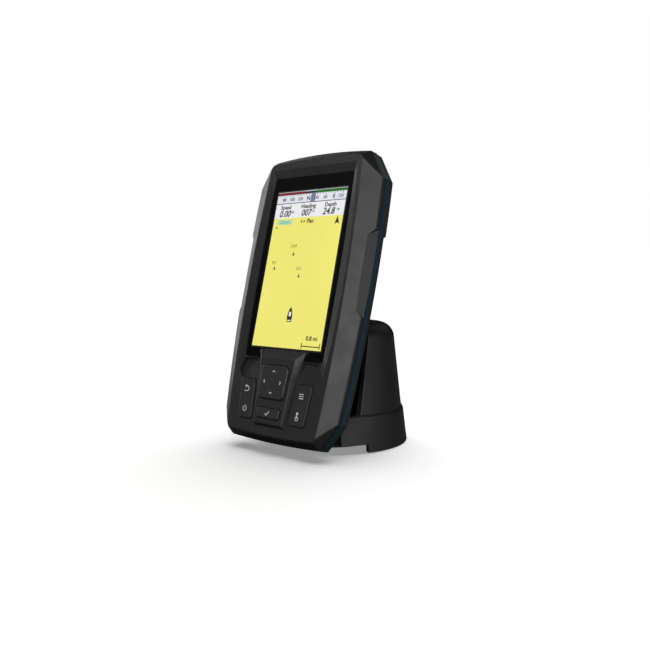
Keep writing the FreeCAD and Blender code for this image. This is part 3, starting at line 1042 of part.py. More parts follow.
# ------------------------------------------------------------------ build
UNIT_FRAME_PARTS = {
    "front_housing": front_housing, "rear_housing": rear_housing, "accent_trim": accent_trim,
    "housing_seal": housing_seal, "housing_screws": housing_screws, "display_lens": display_lens,
    "lens_adhesive": lens_adhesive, "lcd_panel": lcd_panel, "lcd_backlight": lcd_backlight,
    "lcd_frame": lcd_frame, "lcd_ribbon": lcd_ribbon, "ribbon_socket": ribbon_socket,
    "dpad_cap": dpad_cap, "dpad_rocker_plate": dpad_rocker_plate, "enter_key": enter_key,
    "back_power_key": lambda: side_key(-1), "menu_mark_key": lambda: side_key(1),
    "keypad_membrane": keypad_membrane, "keypad_board": keypad_board,
    "main_circuit_board": main_circuit_board, "board_screws": board_screws, "board_link": board_link,
    "processor": processor, "memory_chips": memory_chips, "shield_can": shield_can,
    "sonar_chips": sonar_chips, "sonar_transformer": sonar_transformer, "capacitors": capacitors,
    "gps_antenna": gps_antenna, "beeper": beeper, "connector_block": connector_block,
    "contact_pins": contact_pins, "connector_seal": connector_seal, "vent_plug": vent_plug,
    "cradle": cradle, "cradle_connector": cradle_connector, "contact_sockets": contact_sockets,
    "cradle_cover": cradle_cover, "power_cable_gland": lambda: cable_gland(-1),
    "transducer_cable_gland": lambda: cable_gland(1), "release_latch": release_latch,
    "latch_pin": latch_pin, "latch_spring": latch_spring,
}
WORLD_FRAME_PARTS = {
    "tilt_bolt": tilt_bolt, "tilt_nut": tilt_nut, "tilt_washers": tilt_washers, "tower": tower,
    "swivel_ring": swivel_ring, "swivel_washer": swivel_washer, "swivel_bolt": swivel_bolt,
    "base_insert": base_insert, "mount_base": mount_base,
}


def main():
    os.makedirs("parts", exist_ok=True)
    for name, make in UNIT_FRAME_PARTS.items():
        leaned(make()).exportStep("parts/" + name + ".step")
    for name, make in WORLD_FRAME_PARTS.items():
        make().exportStep("parts/" + name + ".step")


main()
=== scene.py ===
"""Looks of the fish finder: materials, key legends, the lit screen, floor, lights and camera."""

import json
import math

import bmesh
import bpy
from mathutils import Matrix, Vector


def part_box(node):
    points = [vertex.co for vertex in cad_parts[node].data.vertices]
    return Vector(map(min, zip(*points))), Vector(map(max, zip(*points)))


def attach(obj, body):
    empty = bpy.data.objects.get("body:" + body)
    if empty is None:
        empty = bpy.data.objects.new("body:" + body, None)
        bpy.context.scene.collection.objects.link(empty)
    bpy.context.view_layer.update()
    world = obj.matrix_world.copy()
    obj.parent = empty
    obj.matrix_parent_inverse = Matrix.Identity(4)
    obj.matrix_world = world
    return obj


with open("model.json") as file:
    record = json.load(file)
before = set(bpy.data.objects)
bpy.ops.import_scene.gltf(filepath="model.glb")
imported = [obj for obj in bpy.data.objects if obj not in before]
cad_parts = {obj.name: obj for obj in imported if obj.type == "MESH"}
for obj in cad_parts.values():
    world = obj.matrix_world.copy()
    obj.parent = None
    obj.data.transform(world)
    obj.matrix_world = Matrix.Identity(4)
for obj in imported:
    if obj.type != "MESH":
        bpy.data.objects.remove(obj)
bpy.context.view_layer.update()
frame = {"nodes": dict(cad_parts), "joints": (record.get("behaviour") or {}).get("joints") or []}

MM = 0.001
UNIT_RANGE = (0.0, 1.0)
WHITE = (1.0, 1.0, 1.0, 1.0)
BLACK = (0.0, 0.0, 0.0, 1.0)
SCENE = bpy.context.scene
SCENE.view_settings.view_transform = "Standard"


# ------------------------------------------------------------------ the unit's own frame
# Art on the unit is drawn in millimetres: across the screen, up the screen, and out towards the viewer.
RELEASE = next(joint for joint in frame["joints"] if joint["name"] == "unit_release")
OUT = Vector(RELEASE["axis"]).normalized()
UP = Vector((0.0, OUT.z, -OUT.y))
ACROSS = Vector((1.0, 0.0, 0.0))
# The middle of the display panel lies this far behind and above the middle of the lit picture.
PANEL_DEPTH, PANEL_MIDDLE_UP = 1.3, 0.85
panel_low, panel_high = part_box("lcd_panel")
SCREEN = (panel_low + panel_high) / 2 + (OUT * PANEL_DEPTH - UP * PANEL_MIDDLE_UP) * MM
UNIT = Matrix((
    (ACROSS.x * MM, UP.x * MM, OUT.x * MM, SCREEN.x),
    (ACROSS.y * MM, UP.y * MM, OUT.y * MM, SCREEN.y),
    (ACROSS.z * MM, UP.z * MM, OUT.z * MM, SCREEN.z),
    (0.0, 0.0, 0.0, 1.0),
))


# ------------------------------------------------------------------ flat art
MITRE_LIMIT = 0.4       # sharp bends in a stroke widen it no further than this cosine allows
WELD_MM = 1e-5
LETTER_STEPS = 3


class Art:
    """Thin closed shapes of one colour, drawn in the unit's frame and kept as one piece."""

    def __init__(self, top, base):
        self.bm = bmesh.new()
        self.top = top
        self.base = base

    def shape(self, corners):
        """Closed prism over an outline of (across, up) corners."""
        front = [self.bm.verts.new((x, y, self.top)) for x, y in corners]
        back = [self.bm.verts.new((x, y, self.base)) for x, y in corners]
        self.bm.faces.new(front)
        self.bm.faces.new(back[::-1])
        for i in range(len(corners)):
            j = (i + 1) % len(corners)
            self.bm.faces.new((front[i], back[i], back[j], front[j]))

    def bar(self, x0, x1, y0, y1):
        self.shape([(x0, y0), (x1, y0), (x1, y1), (x0, y1)])

    def disc(self, centre, radius, steps):
        self.shape(circle(centre, radius, steps))

    def stroke(self, points, width):
        """Open line of even width with square ends."""
        left, right = [], []
        for i, point in enumerate(points):
            here = Vector(point)
            before = Vector(points[max(i - 1, 0)])
            after = Vector(points[min(i + 1, len(points) - 1)])
            along_in = (here - before).normalized() if i else (after - here).normalized()
            along_out = (after - here).normalized() if i < len(points) - 1 else along_in
            along = (along_in + along_out).normalized()
            side = Vector((-along.y, along.x)) * (width / 2 / max(along.dot(along_in), MITRE_LIMIT))
            left.append(tuple(here + side))
            right.append(tuple(here - side))
        self.shape(right + left[::-1])

    def ring(self, centre, radius, width, steps):
        """Closed ring of even width."""
        loops = []
        for reach, height in ((radius + width / 2, self.top), (radius - width / 2, self.top),
                              (radius - width / 2, self.base), (radius + width / 2, self.base)):
            loops.append([self.bm.verts.new((x, y, height)) for x, y in circle(centre, reach, steps)])
        for a, b in zip(loops, loops[1:] + loops[:1]):
            for i in range(steps):
                j = (i + 1) % steps
                self.bm.faces.new((a[i], a[j], b[j], b[i]))

    def words(self, text, x, y, height, slant=0.0, squeeze=1.0, bold=0.0):
        """Lettering of the program's own plain face, as a closed mesh."""
        curve = bpy.data.curves.new("words", "FONT")
        curve.body = text
        curve.size = height
        curve.shear = slant
        curve.offset = bold
        curve.align_x = "CENTER"
        curve.align_y = "CENTER"
        curve.extrude = (self.top - self.base) / 2
        curve.resolution_u = LETTER_STEPS
        holder = bpy.data.objects.new("words", curve)
        SCENE.collection.objects.link(holder)
        ready = holder.evaluated_get(bpy.context.evaluated_depsgraph_get())
        mesh = bpy.data.meshes.new_from_object(ready)
        middle = Matrix.Translation((x, y, (self.top + self.base) / 2))
        mesh.transform(middle @ Matrix.Diagonal((squeeze, 1, 1, 1)))
        self.bm.from_mesh(mesh)
        bpy.data.objects.remove(holder)
        bpy.data.curves.remove(curve)
        bpy.data.meshes.remove(mesh)

    def piece(self, name, material, body):
        bmesh.ops.remove_doubles(self.bm, verts=self.bm.verts, dist=WELD_MM)
        bmesh.ops.recalc_face_normals(self.bm, faces=self.bm.faces)
        self.bm.transform(UNIT)
        mesh = bpy.data.meshes.new(name)
        self.bm.to_mesh(mesh)
        self.bm.free()
        mesh.materials.append(material)
        made = bpy.data.objects.new(name, mesh)
        SCENE.collection.objects.link(made)
        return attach(made, body)


def arc(centre, radius, start, end, steps):
    """Points on a circle; angles in degrees, counter-clockwise from the right."""
    angles = [math.radians(start + (end - start) * i / steps) for i in range(steps + 1)]
    return [(centre[0] + radius * math.cos(a), centre[1] + radius * math.sin(a)) for a in angles]


def circle(centre, radius, steps):
    """Points all the way round, without the first one again."""
    return arc(centre, radius, 0, 360 - 360 / steps, steps - 1)


# ------------------------------------------------------------------ material helpers
def add(tree, kind, inputs=None, **settings):
    """New shader node: an input given as a socket is linked, anything else is set on it."""
    made = tree.nodes.new("ShaderNode" + kind)
    for key, value in settings.items():
        setattr(made, key, value)
    for key, value in (inputs or {}).items():
        if isinstance(value, bpy.types.NodeSocket):
            tree.links.new(value, made.inputs[key])
        else:
            made.inputs[key].default_value = value
    return made


def blank(name):
    """New material: its node tree, its Principled shader and the object's own coordinates."""
    material = bpy.data.materials.new(name)
    material.use_nodes = True
    tree = material.node_tree
    coords = add(tree, "TexCoord").outputs["Object"]
    return material, tree, tree.nodes["Principled BSDF"], coords


def noise(tree, coords, size_mm, detail=2.0, roughness=0.5, stretch=(1, 1, 1)):
    """Noise from 0 to 1 whose grains are about size_mm across."""
    if stretch != (1, 1, 1):
        coords = add(tree, "Mapping", {"Vector": coords, "Scale": stretch}).outputs["Vector"]
    made = add(tree, "TexNoise", {"Vector": coords, "Scale": 1 / (size_mm * MM), "Detail": detail,
                                  "Roughness": roughness})
    return made.outputs["Fac"]


def remap(tree, value, source, target):
    """Carry the range source, a pair, over to the range target."""
    made = add(tree, "MapRange", {"Value": value, "From Min": source[0], "From Max": source[1],
                                  "To Min": target[0], "To Max": target[1]})
    return made.outputs["Result"]


WAVE_RADIANS = 20       # phase that a wave texture of scale 1 gains in a metre


def bands(tree, coords, pitch_mm):
    """Even stripes across x, from 0 to 1 and back every pitch_mm."""
    made = add(tree, "TexWave", {"Vector": coords, "Scale": math.tau / (pitch_mm * MM * WAVE_RADIANS),
                                 "Distortion": 0.0}, bands_direction="X")
    return made.outputs["Fac"]


def math_node(tree, operation, a, b):
    return add(tree, "Math", {0: a, 1: b}, operation=operation).outputs["Value"]


MIX_A, MIX_B, MIX_RESULT = 6, 7, 2      # the Mix node's colour sockets, which share their names with others


def mix_colours(tree, share, a, b):
    made = add(tree, "Mix", {"Factor": share}, data_type="RGBA")
    for socket, value in ((made.inputs[MIX_A], a), (made.inputs[MIX_B], b)):
        if isinstance(value, bpy.types.NodeSocket):
            tree.links.new(value, socket)
        else:
            socket.default_value = value
    return made.outputs[MIX_RESULT]


def grey(value, blue=1.0):
    return (value, value, value * blue, 1.0)


SHARP_FROM, SHARP_TO = 0.995, 0.86      # cosines of rounded to true normal: wear begins, is full


def edge_wear(tree, radius_mm):
    """0 on flat surfaces, rising to 1 on outer edges."""
    rounded = add(tree, "Bevel", {"Radius": radius_mm * MM}, samples=4).outputs["Normal"]
    plain = add(tree, "NewGeometry").outputs["Normal"]
    dot = add(tree, "VectorMath", {0: rounded, 1: plain}, operation="DOT_PRODUCT").outputs["Value"]
    return remap(tree, dot, (SHARP_FROM, SHARP_TO), UNIT_RANGE)


def bump(tree, height, strength, distance_mm):
    made = add(tree, "Bump", {"Height": height, "Strength": strength, "Distance": distance_mm * MM})
    return made.outputs["Normal"]


# ------------------------------------------------------------------ plastics and rubbers
PLASTIC_BLUE = 1.03                             # the blacks are very slightly cold
EDGE_MM = 0.5                                   # how far from an edge the rubbing reaches
SHADE = {"dark": 0.88, "light": 1.12, "speck": 1.9, "rubbed": 3.2}      # times the plastic's own tone
RUBBED_SMOOTHER = 0.16


def moulded_plastic(name, tone, roughness, grain_mm=0.32, depth_mm=0.012, wear=0.6):
    """Spark-textured moulding: fine grain, faint handling marks and edges rubbed a little smoother."""
    material, tree, shader, coords = blank(name)
    shades = {shade: grey(tone * factor, PLASTIC_BLUE) for shade, factor in SHADE.items()}
    grain = noise(tree, coords, grain_mm, detail=3.0, roughness=0.6)
    marks = noise(tree, coords, size_mm=14.0, detail=4.0, roughness=0.62)
    flow = noise(tree, coords, size_mm=55.0, detail=2.0)
    handled = remap(tree, marks, (0.3, 0.65), (0.25 * wear, wear))
    rubbed = math_node(tree, "MULTIPLY", edge_wear(tree, EDGE_MM), handled)
    body = mix_colours(tree, remap(tree, flow, (0.35, 0.65), UNIT_RANGE), shades["dark"], shades["light"])
    speck = mix_colours(tree, remap(tree, grain, (0.35, 0.75), (0.0, 0.35)), body, shades["speck"])
    tree.links.new(mix_colours(tree, rubbed, speck, shades["rubbed"]), shader.inputs["Base Color"])
    base_roughness = remap(tree, marks, (0.3, 0.7), (roughness - 0.05, roughness + 0.06))
    smoother = math_node(tree, "MULTIPLY", rubbed, RUBBED_SMOOTHER)
    tree.links.new(math_node(tree, "SUBTRACT", base_roughness, smoother), shader.inputs["Roughness"])
    tree.links.new(bump(tree, grain, strength=0.7, distance_mm=depth_mm), shader.inputs["Normal"])
    return material


RUBBER_DUSTY, RUBBER_PATCHY = 1.8, 1.4          # times the rubber's own tone
DUST_TONE = 0.006


def soft_rubber(name, tone, roughness=0.62):
    """Matte elastomer with a fine dusty bloom."""
    material, tree, shader, coords = blank(name)
    dust = noise(tree, coords, size_mm=0.9, detail=5.0, roughness=0.7)
    patch = noise(tree, coords, size_mm=9.0, detail=3.0)
    dusty = grey(tone * RUBBER_DUSTY + DUST_TONE)
    colour = mix_colours(tree, remap(tree, dust, (0.4, 0.75), (0.0, 0.5)), grey(tone), dusty)
    patches = remap(tree, patch, (0.4, 0.7), (0.0, 0.3))
    patchy = mix_colours(tree, patches, colour, grey(tone * RUBBER_PATCHY))
    tree.links.new(patchy, shader.inputs["Base Color"])
    uneven = remap(tree, dust, (0.2, 0.8), (roughness - 0.08, roughness + 0.1))
    tree.links.new(uneven, shader.inputs["Roughness"])
    tree.links.new(bump(tree, dust, strength=0.5, distance_mm=0.01), shader.inputs["Normal"])
    shader.inputs["Sheen Weight"].default_value = 0.12
    shader.inputs["Sheen Roughness"].default_value = 0.4
    return material


TRIM_DARK, TRIM_LIGHT = (0.003, 0.038, 0.060, 1), (0.005, 0.054, 0.082, 1)
TRIM_PEARL = (0.02, 0.11, 0.17, 1)


def trim_paint():
    """Blue satin trim with a very fine pearl."""
    material, tree, shader, coords = blank("trim_blue_satin")
    pearl = noise(tree, coords, size_mm=0.18, detail=2.0)
    shade = noise(tree, coords, size_mm=30.0, detail=2.0)
    colour = mix_colours(tree, remap(tree, shade, (0.3, 0.7), UNIT_RANGE), TRIM_DARK, TRIM_LIGHT)
    colour = mix_colours(tree, remap(tree, pearl, (0.55, 0.8), (0.0, 0.4)), colour, TRIM_PEARL)
    tree.links.new(colour, shader.inputs["Base Color"])
    tree.links.new(remap(tree, pearl, (0.2, 0.8), (0.30, 0.42)), shader.inputs["Roughness"])
    tree.links.new(bump(tree, pearl, strength=0.35, distance_mm=0.006), shader.inputs["Normal"])
    shader.inputs["Metallic"].default_value = 0.15
    return material


LENS_IOR = 1.38
RIM_STARTS, RIM_DONE = 0.95, 0.80       # cosines to the window's axis: its black rim begins, is full


def clear_lens():
    """Clear hard-coated window with a blackened rim and faint wiping marks.

    Lamps shine straight through it to what lies behind.
    """
    material, tree, shader, coords = blank("clear_lens")
    wipes = noise(tree, coords, size_mm=16.0, detail=4.0, roughness=0.65, stretch=(1.0, 0.35, 0.35))
    tree.links.new(remap(tree, wipes, (0.3, 0.8), (0.01, 0.05)), shader.inputs["Roughness"])
    flat = add(tree, "TexCoord").outputs["Normal"]
    facing = add(tree, "VectorMath", {0: flat, 1: OUT}, operation="DOT_PRODUCT").outputs["Value"]
    clear = remap(tree, math_node(tree, "ABSOLUTE", facing, 0.0), (RIM_DONE, RIM_STARTS), UNIT_RANGE)
    tree.links.new(mix_colours(tree, clear, grey(0.004), WHITE), shader.inputs["Base Color"])
    tree.links.new(clear, shader.inputs["Transmission Weight"])
    shader.inputs["IOR"].default_value = LENS_IOR
    open_pane = add(tree, "BsdfTransparent")
    from_lamp = add(tree, "LightPath").outputs["Is Shadow Ray"]
    pane = add(tree, "MixShader", {0: from_lamp, 1: shader.outputs["BSDF"], 2: open_pane.outputs["BSDF"]})
    tree.links.new(pane.outputs["Shader"], tree.nodes["Material Output"].inputs["Surface"])
    return material


def printed_black():
    """Gloss black print behind the window, with a fine orange peel."""
    material, tree, shader, coords = blank("printed_black")
    peel = noise(tree, coords, size_mm=6.0, detail=2.0)
    tree.links.new(mix_colours(tree, peel, grey(0.004), grey(0.006, 1.1)), shader.inputs["Base Color"])
    tree.links.new(remap(tree, peel, (0.3, 0.7), (0.30, 0.38)), shader.inputs["Roughness"])
    tree.links.new(bump(tree, peel, strength=0.1, distance_mm=0.003), shader.inputs["Normal"])
    shader.inputs["Specular IOR Level"].default_value = 0.12
    return material


# ------------------------------------------------------------------ metals, boards and small parts
STREAK_STRETCH = 0.06
METAL_DARK, METAL_LIGHT = 0.62, 1.08            # times the metal's own colour


def brushed_metal(name, colour, roughness, along="x"):
    """Drawn or turned metal: fine streaks, faint tarnish."""
    material, tree, shader, coords = blank(name)
    stretch = tuple(STREAK_STRETCH if axis == along else 1.0 for axis in "xyz")
    streaks = noise(tree, coords, size_mm=0.22, detail=4.0, roughness=0.7, stretch=stretch)
    tarnish = noise(tree, coords, size_mm=4.0, detail=4.0, roughness=0.6)
    dark = tuple(c * METAL_DARK for c in colour) + (1,)
    light = tuple(min(c * METAL_LIGHT, 1.0) for c in colour) + (1,)
    tone = mix_colours(tree, remap(tree, streaks, (0.3, 0.7), (0.3, 1.0)), dark, light)
    tarnished = mix_colours(tree, remap(tree, tarnish, (0.5, 0.8), (0.0, 0.5)), tone, dark)
    tree.links.new(tarnished, shader.inputs["Base Color"])
    uneven = remap(tree, streaks, (0.2, 0.8), (roughness - 0.07, roughness + 0.1))
    tree.links.new(uneven, shader.inputs["Roughness"])
    tree.links.new(bump(tree, streaks, strength=0.4, distance_mm=0.006), shader.inputs["Normal"])
    shader.inputs["Metallic"].default_value = 1.0
    return material


def speckled(name, dark, light, size_mm, roughness, metallic=0.0):
    """Sintered, ceramic or moulded filler: two tones in a fine speckle."""
    material, tree, shader, coords = blank(name)
    grains = noise(tree, coords, size_mm, detail=4.0, roughness=0.7)
    two_tone = mix_colours(tree, remap(tree, grains, (0.35, 0.65), UNIT_RANGE), dark + (1,), light + (1,))
    tree.links.new(two_tone, shader.inputs["Base Color"])
    uneven = remap(tree, grains, (0.3, 0.7), (roughness - 0.06, roughness + 0.08))
    tree.links.new(uneven, shader.inputs["Roughness"])
    tree.links.new(bump(tree, grains, strength=0.4, distance_mm=0.01), shader.inputs["Normal"])
    shader.inputs["Metallic"].default_value = metallic
    return material


MASK, MASK_OVER_COPPER = (0.010, 0.085, 0.035, 1), (0.030, 0.170, 0.075, 1)
PAD_TIN = (0.55, 0.50, 0.36, 1)


def circuit_board():
    """Green solder mask over copper tracks and pour."""
    material, tree, shader, coords = blank("circuit_board")
    tracks = add(tree, "TexBrick", {
        "Vector": coords, "Scale": 90.0, "Mortar Size": 0.06, "Mortar Smooth": 0.1, "Brick Width": 0.9,
        "Row Height": 0.22,
    }).outputs["Fac"]
    pads = add(tree, "TexVoronoi", {"Vector": coords, "Scale": 420.0}).outputs["Distance"]
    masked = mix_colours(tree, tracks, MASK, MASK_OVER_COPPER)
    padded = mix_colours(tree, remap(tree, pads, (0.16, 0.12), UNIT_RANGE), masked, PAD_TIN)
    tree.links.new(padded, shader.inputs["Base Color"])
    tree.links.new(remap(tree, tracks, UNIT_RANGE, (0.42, 0.3)), shader.inputs["Roughness"])
    tree.links.new(bump(tree, tracks, strength=0.3, distance_mm=0.03), shader.inputs["Normal"])
    return material


CONDUCTOR_PITCH_MM = 0.9817
AMBER_FILM, FILM_OVER_COPPER = (0.24, 0.10, 0.02, 1), (0.55, 0.27, 0.07, 1)


def flat_cable():
    """Amber film with parallel copper conductors."""
    material, tree, shader, coords = blank("flat_cable")
    lanes = bands(tree, coords, CONDUCTOR_PITCH_MM)
    striped = mix_colours(tree, remap(tree, lanes, (0.35, 0.65), UNIT_RANGE), AMBER_FILM, FILM_OVER_COPPER)
    tree.links.new(striped, shader.inputs["Base Color"])
    tree.links.new(remap(tree, lanes, UNIT_RANGE, (0.34, 0.22)), shader.inputs["Roughness"])
    tree.links.new(bump(tree, lanes, strength=0.5, distance_mm=0.03), shader.inputs["Normal"])
    return material


COLUMN_PITCH_MM = 1.2566
BACKLIGHT_DRIFT = 0.05


def lit(name, colour, strength=1.0):
    """Lit picture area: faint columns and a slight unevenness of the light behind it."""
    material, tree, shader, coords = blank(name)
    glow = noise(tree, coords, size_mm=45.0, detail=1.0)
    column = bands(tree, coords, COLUMN_PITCH_MM)
    drifting = remap(tree, glow, (0.3, 0.7), (1.0 - BACKLIGHT_DRIFT, 1.0 + BACKLIGHT_DRIFT * 0.4))
    level = math_node(tree, "MULTIPLY", drifting, remap(tree, column, UNIT_RANGE, (0.97, 1.0)))
    tree.links.new(mix_colours(tree, level, BLACK, colour + (1,)), shader.inputs["Emission Color"])
    shader.inputs["Emission Strength"].default_value = strength
    shader.inputs["Base Color"].default_value = grey(0.01)
    shader.inputs["Roughness"].default_value = 0.5
    return material


def legend_print_painted_glow():
    """White pad print on the keys: slightly uneven and soft, with a faint painted glow."""
    material, tree, shader, coords = blank("legend_print_painted_glow")
    cover = noise(tree, coords, size_mm=0.5, detail=4.0, roughness=0.6)
    printed = mix_colours(tree, remap(tree, cover, (0.35, 0.7), (0.0, 0.5)), grey(0.60), grey(0.46))
    tree.links.new(printed, shader.inputs["Base Color"])
    tree.links.new(remap(tree, cover, (0.3, 0.7), (0.42, 0.6)), shader.inputs["Roughness"])
    tree.links.new(bump(tree, cover, strength=0.3, distance_mm=0.005), shader.inputs["Normal"])
    # Painted glow: the white print gives off a little light of its own, so it reads brighter than the lamps
    # make it.
    shader.inputs["Emission Color"].default_value = WHITE
    shader.inputs["Emission Strength"].default_value = 0.12
    return material


# ------------------------------------------------------------------ finishes of the CAD nodes
case_plastic = moulded_plastic("case_plastic", tone=0.014, roughness=0.43)
rear_plastic = moulded_plastic("rear_plastic", tone=0.016, roughness=0.50, grain_mm=0.4)
tower_plastic = moulded_plastic("tower_plastic", tone=0.010, roughness=0.46, grain_mm=0.4)
cradle_plastic = moulded_plastic("cradle_plastic", tone=0.012, roughness=0.50, grain_mm=0.36)
latch_plastic = moulded_plastic("latch_plastic", tone=0.016, roughness=0.42, grain_mm=0.3)
key_plastic = moulded_plastic("key_plastic", tone=0.019, roughness=0.40, grain_mm=0.26, depth_mm=0.006,
                              wear=0.8)
inner_plastic = moulded_plastic("inner_plastic", tone=0.022, roughness=0.45, grain_mm=0.3)
seal_rubber = soft_rubber("seal_rubber", tone=0.012)
silicone_grey = soft_rubber("silicone_grey", tone=0.10, roughness=0.55)
blue_trim = trim_paint()
lens = clear_lens()
lens_print = printed_black()
steel = brushed_metal("steel", colour=(0.56, 0.56, 0.57), roughness=0.34)
frame_steel = brushed_metal("frame_steel", colour=(0.60, 0.60, 0.60), roughness=0.38, along="z")
tin = brushed_metal("tin", colour=(0.66, 0.66, 0.64), roughness=0.42, along="z")
gold = brushed_metal("gold", colour=(0.82, 0.60, 0.24), roughness=0.28, along="y")
brass = brushed_metal("brass", colour=(0.72, 0.53, 0.25), roughness=0.36, along="z")
nylon = speckled("nylon", dark=(0.62, 0.61, 0.57), light=(0.74, 0.73, 0.69), size_mm=0.6, roughness=0.5)
ceramic = speckled("ceramic", dark=(0.60, 0.56, 0.48), light=(0.72, 0.69, 0.62), size_mm=0.5, roughness=0.6)
ferrite = speckled("ferrite", dark=(0.030, 0.028, 0.028), light=(0.075, 0.07, 0.07), size_mm=0.35,
                   roughness=0.6, metallic=0.1)
chip_body = speckled("chip_body", dark=(0.014, 0.014, 0.015), light=(0.030, 0.030, 0.032),
                     size_mm=0.25, roughness=0.55)
diffuser = speckled("diffuser", dark=(0.74, 0.74, 0.72), light=(0.82, 0.82, 0.80), size_mm=1.2,
                    roughness=0.5)
board = circuit_board()
ribbon = flat_cable()
panel_black = lit("panel_black", colour=(0.004, 0.004, 0.005), strength=0.4)

FINISHES = {
    case_plastic: ["front_housing"],
    rear_plastic: ["rear_housing"],
    blue_trim: ["accent_trim"],
    key_plastic: ["dpad_cap", "enter_key", "back_power_key", "menu_mark_key"],
    tower_plastic: ["tower", "mount_base"],
    cradle_plastic: ["cradle", "cradle_cover"],
    latch_plastic: ["release_latch"],
    inner_plastic: ["connector_block", "cradle_connector"],
    lens: ["display_lens"],
    lens_print: ["lens_adhesive"],
    panel_black: ["lcd_panel"],
    diffuser: ["lcd_backlight"],
    frame_steel: ["lcd_frame"],
    ribbon: ["lcd_ribbon"],
    silicone_grey: ["keypad_membrane", "connector_seal", "dpad_rocker_plate"],
    seal_rubber: ["housing_seal", "vent_plug", "power_cable_gland", "transducer_cable_gland"],
    board: ["keypad_board", "main_circuit_board"],
    chip_body: ["ribbon_socket", "board_link", "processor", "memory_chips", "sonar_chips", "beeper"],
    tin: ["shield_can", "capacitors"],
    ferrite: ["sonar_transformer"],
    ceramic: ["gps_antenna"],
    gold: ["contact_pins", "contact_sockets"],
    brass: ["base_insert"],
    nylon: ["tilt_washers", "swivel_ring"],
    steel: ["housing_screws", "board_screws", "latch_pin", "latch_spring", "tilt_bolt", "tilt_nut",
            "swivel_bolt", "swivel_washer"],
}
for finish, names in FINISHES.items():
    for name in names:
        for holder in frame["nodes"][name].material_slots:
            holder.material = finish


# ------------------------------------------------------------------ key legends
LEGEND_RISE, LEGEND_SINK = 0.04, 0.05
DPAD_OUT, ENTER_OUT, SIDE_KEY_OUT = 5.6, 5.4, 2.7    # key tops in front of the screen
DPAD_UP = -68.0

ARROW_REACH, ARROW_HALF, ARROW_RISE, ARROW_LINE = 6.5, 0.95, 0.7, 0.42
CHECK_POINTS, CHECK_LINE = [(-1.6, -85.9), (-0.6, -86.9), (1.4, -84.6)], 0.45
BACK_AT, BACK_RADIUS, BACK_LINE = (-21.9, -73.4), 1.4, 0.42
BACK_TAIL, BACK_BEND, BACK_FOOT = -0.6, 0.3, -1.7       # across from the middle of the mark
BACK_HEAD_TIP, BACK_HEAD_ROOT, BACK_HEAD_HALF = -1.9, -0.5, 0.9
POWER_AT, POWER_RADIUS, POWER_LINE = (-21.0, -85.0), 1.35, 0.38
POWER_FROM, POWER_TO = 130, 410                         # degrees where the open ring starts and ends
POWER_STEM_HALF, POWER_STEM = 0.23, (0.5, 2.1)
MENU_AT, MENU_ROWS, MENU_HALF, MENU_LINE = (21.0, -73.6), (-1.2, 0.0, 1.2), 1.6, 0.44
MARKER_AT, MARKER_HEAD_UP, MARKER_HEAD_RADIUS = (20.1, -84.7), 1.5, 0.75
MARKER_STEM_IN, MARKER_STEM, MARKER_STEM_LINE = -0.2, (0.6, -1.0), 0.75
MARKER_RING_DOWN, MARKER_RING_RADIUS, MARKER_RING_LINE = 1.3, 1.0, 0.4
legend = legend_print_painted_glow()


def key_art(key_out):
    return Art(key_out + LEGEND_RISE, key_out - LEGEND_SINK)


def arrow_marks():
    """Four small chevrons round the middle of the four-way key."""
    art = key_art(DPAD_OUT)
    foot = ARROW_REACH - ARROW_RISE
    for turn in range(4):
        angle = math.radians(90 * turn)
        cos, sin = math.cos(angle), math.sin(angle)
        points = [(foot, -ARROW_HALF), (ARROW_REACH, 0.0), (foot, ARROW_HALF)]
        art.stroke([(x * cos - y * sin, DPAD_UP + x * sin + y * cos) for x, y in points], ARROW_LINE)
    art.piece("arrow_legends", legend, "dpad")


def check_mark():
    art = key_art(ENTER_OUT)
    art.stroke(CHECK_POINTS, CHECK_LINE)
    art.piece("check_legend", legend, "enter")


def back_and_power_marks():
    """Hooked arrow, and a ring open at the top with a stem in the gap."""
    art = key_art(SIDE_KEY_OUT)
    x, y = BACK_AT
    top, foot = y + BACK_RADIUS, y - BACK_RADIUS
    bend = arc((x + BACK_BEND, y), BACK_RADIUS, start=90, end=-90, steps=10)
    art.stroke([(x + BACK_TAIL, top)] + bend + [(x + BACK_FOOT, foot)], BACK_LINE)
    root = x + BACK_HEAD_ROOT
    art.shape([(root, top + BACK_HEAD_HALF), (root, top - BACK_HEAD_HALF), (x + BACK_HEAD_TIP, top)])
    x, y = POWER_AT
    art.stroke(arc(POWER_AT, POWER_RADIUS, POWER_FROM, POWER_TO, steps=18), POWER_LINE)
    art.bar(x - POWER_STEM_HALF, x + POWER_STEM_HALF, y + POWER_STEM[0], y + POWER_STEM[1])
    art.piece("back_power_legends", legend, "back_power")


def menu_and_marker_marks():
    """Three bars, and a pin standing in a ring."""
    art = key_art(SIDE_KEY_OUT)
    x, y = MENU_AT
    for row in MENU_ROWS:
        art.bar(x - MENU_HALF, x + MENU_HALF, y + row - MENU_LINE / 2, y + row + MENU_LINE / 2)
    x, y = MARKER_AT
    art.disc((x, y + MARKER_HEAD_UP), MARKER_HEAD_RADIUS, steps=14)
    stem = x + MARKER_STEM_IN
    art.stroke([(stem, y + MARKER_STEM[0]), (stem, y + MARKER_STEM[1])], MARKER_STEM_LINE)
    art.ring((x, y - MARKER_RING_DOWN), MARKER_RING_RADIUS, MARKER_RING_LINE, steps=20)
    art.piece("menu_marker_legends", legend, "menu_mark")


arrow_marks()
check_mark()
back_and_power_marks()
menu_and_marker_marks()


# ------------------------------------------------------------------ the lit screen
# Places are millimetres across and up from the middle of the lit picture.
PICTURE_HALF, PICTURE_TOP, PICTURE_FOOT = 26.95, 47.5, -47.5
MAP_TOP, DATA_TOP, TAPE_TOP = 31.0, 40.2, 45.5
LAYER = [-0.300, -0.255, -0.215, -0.175]            # heights of the picture's layers behind the lens
LAYER_OVERLAP = 0.02

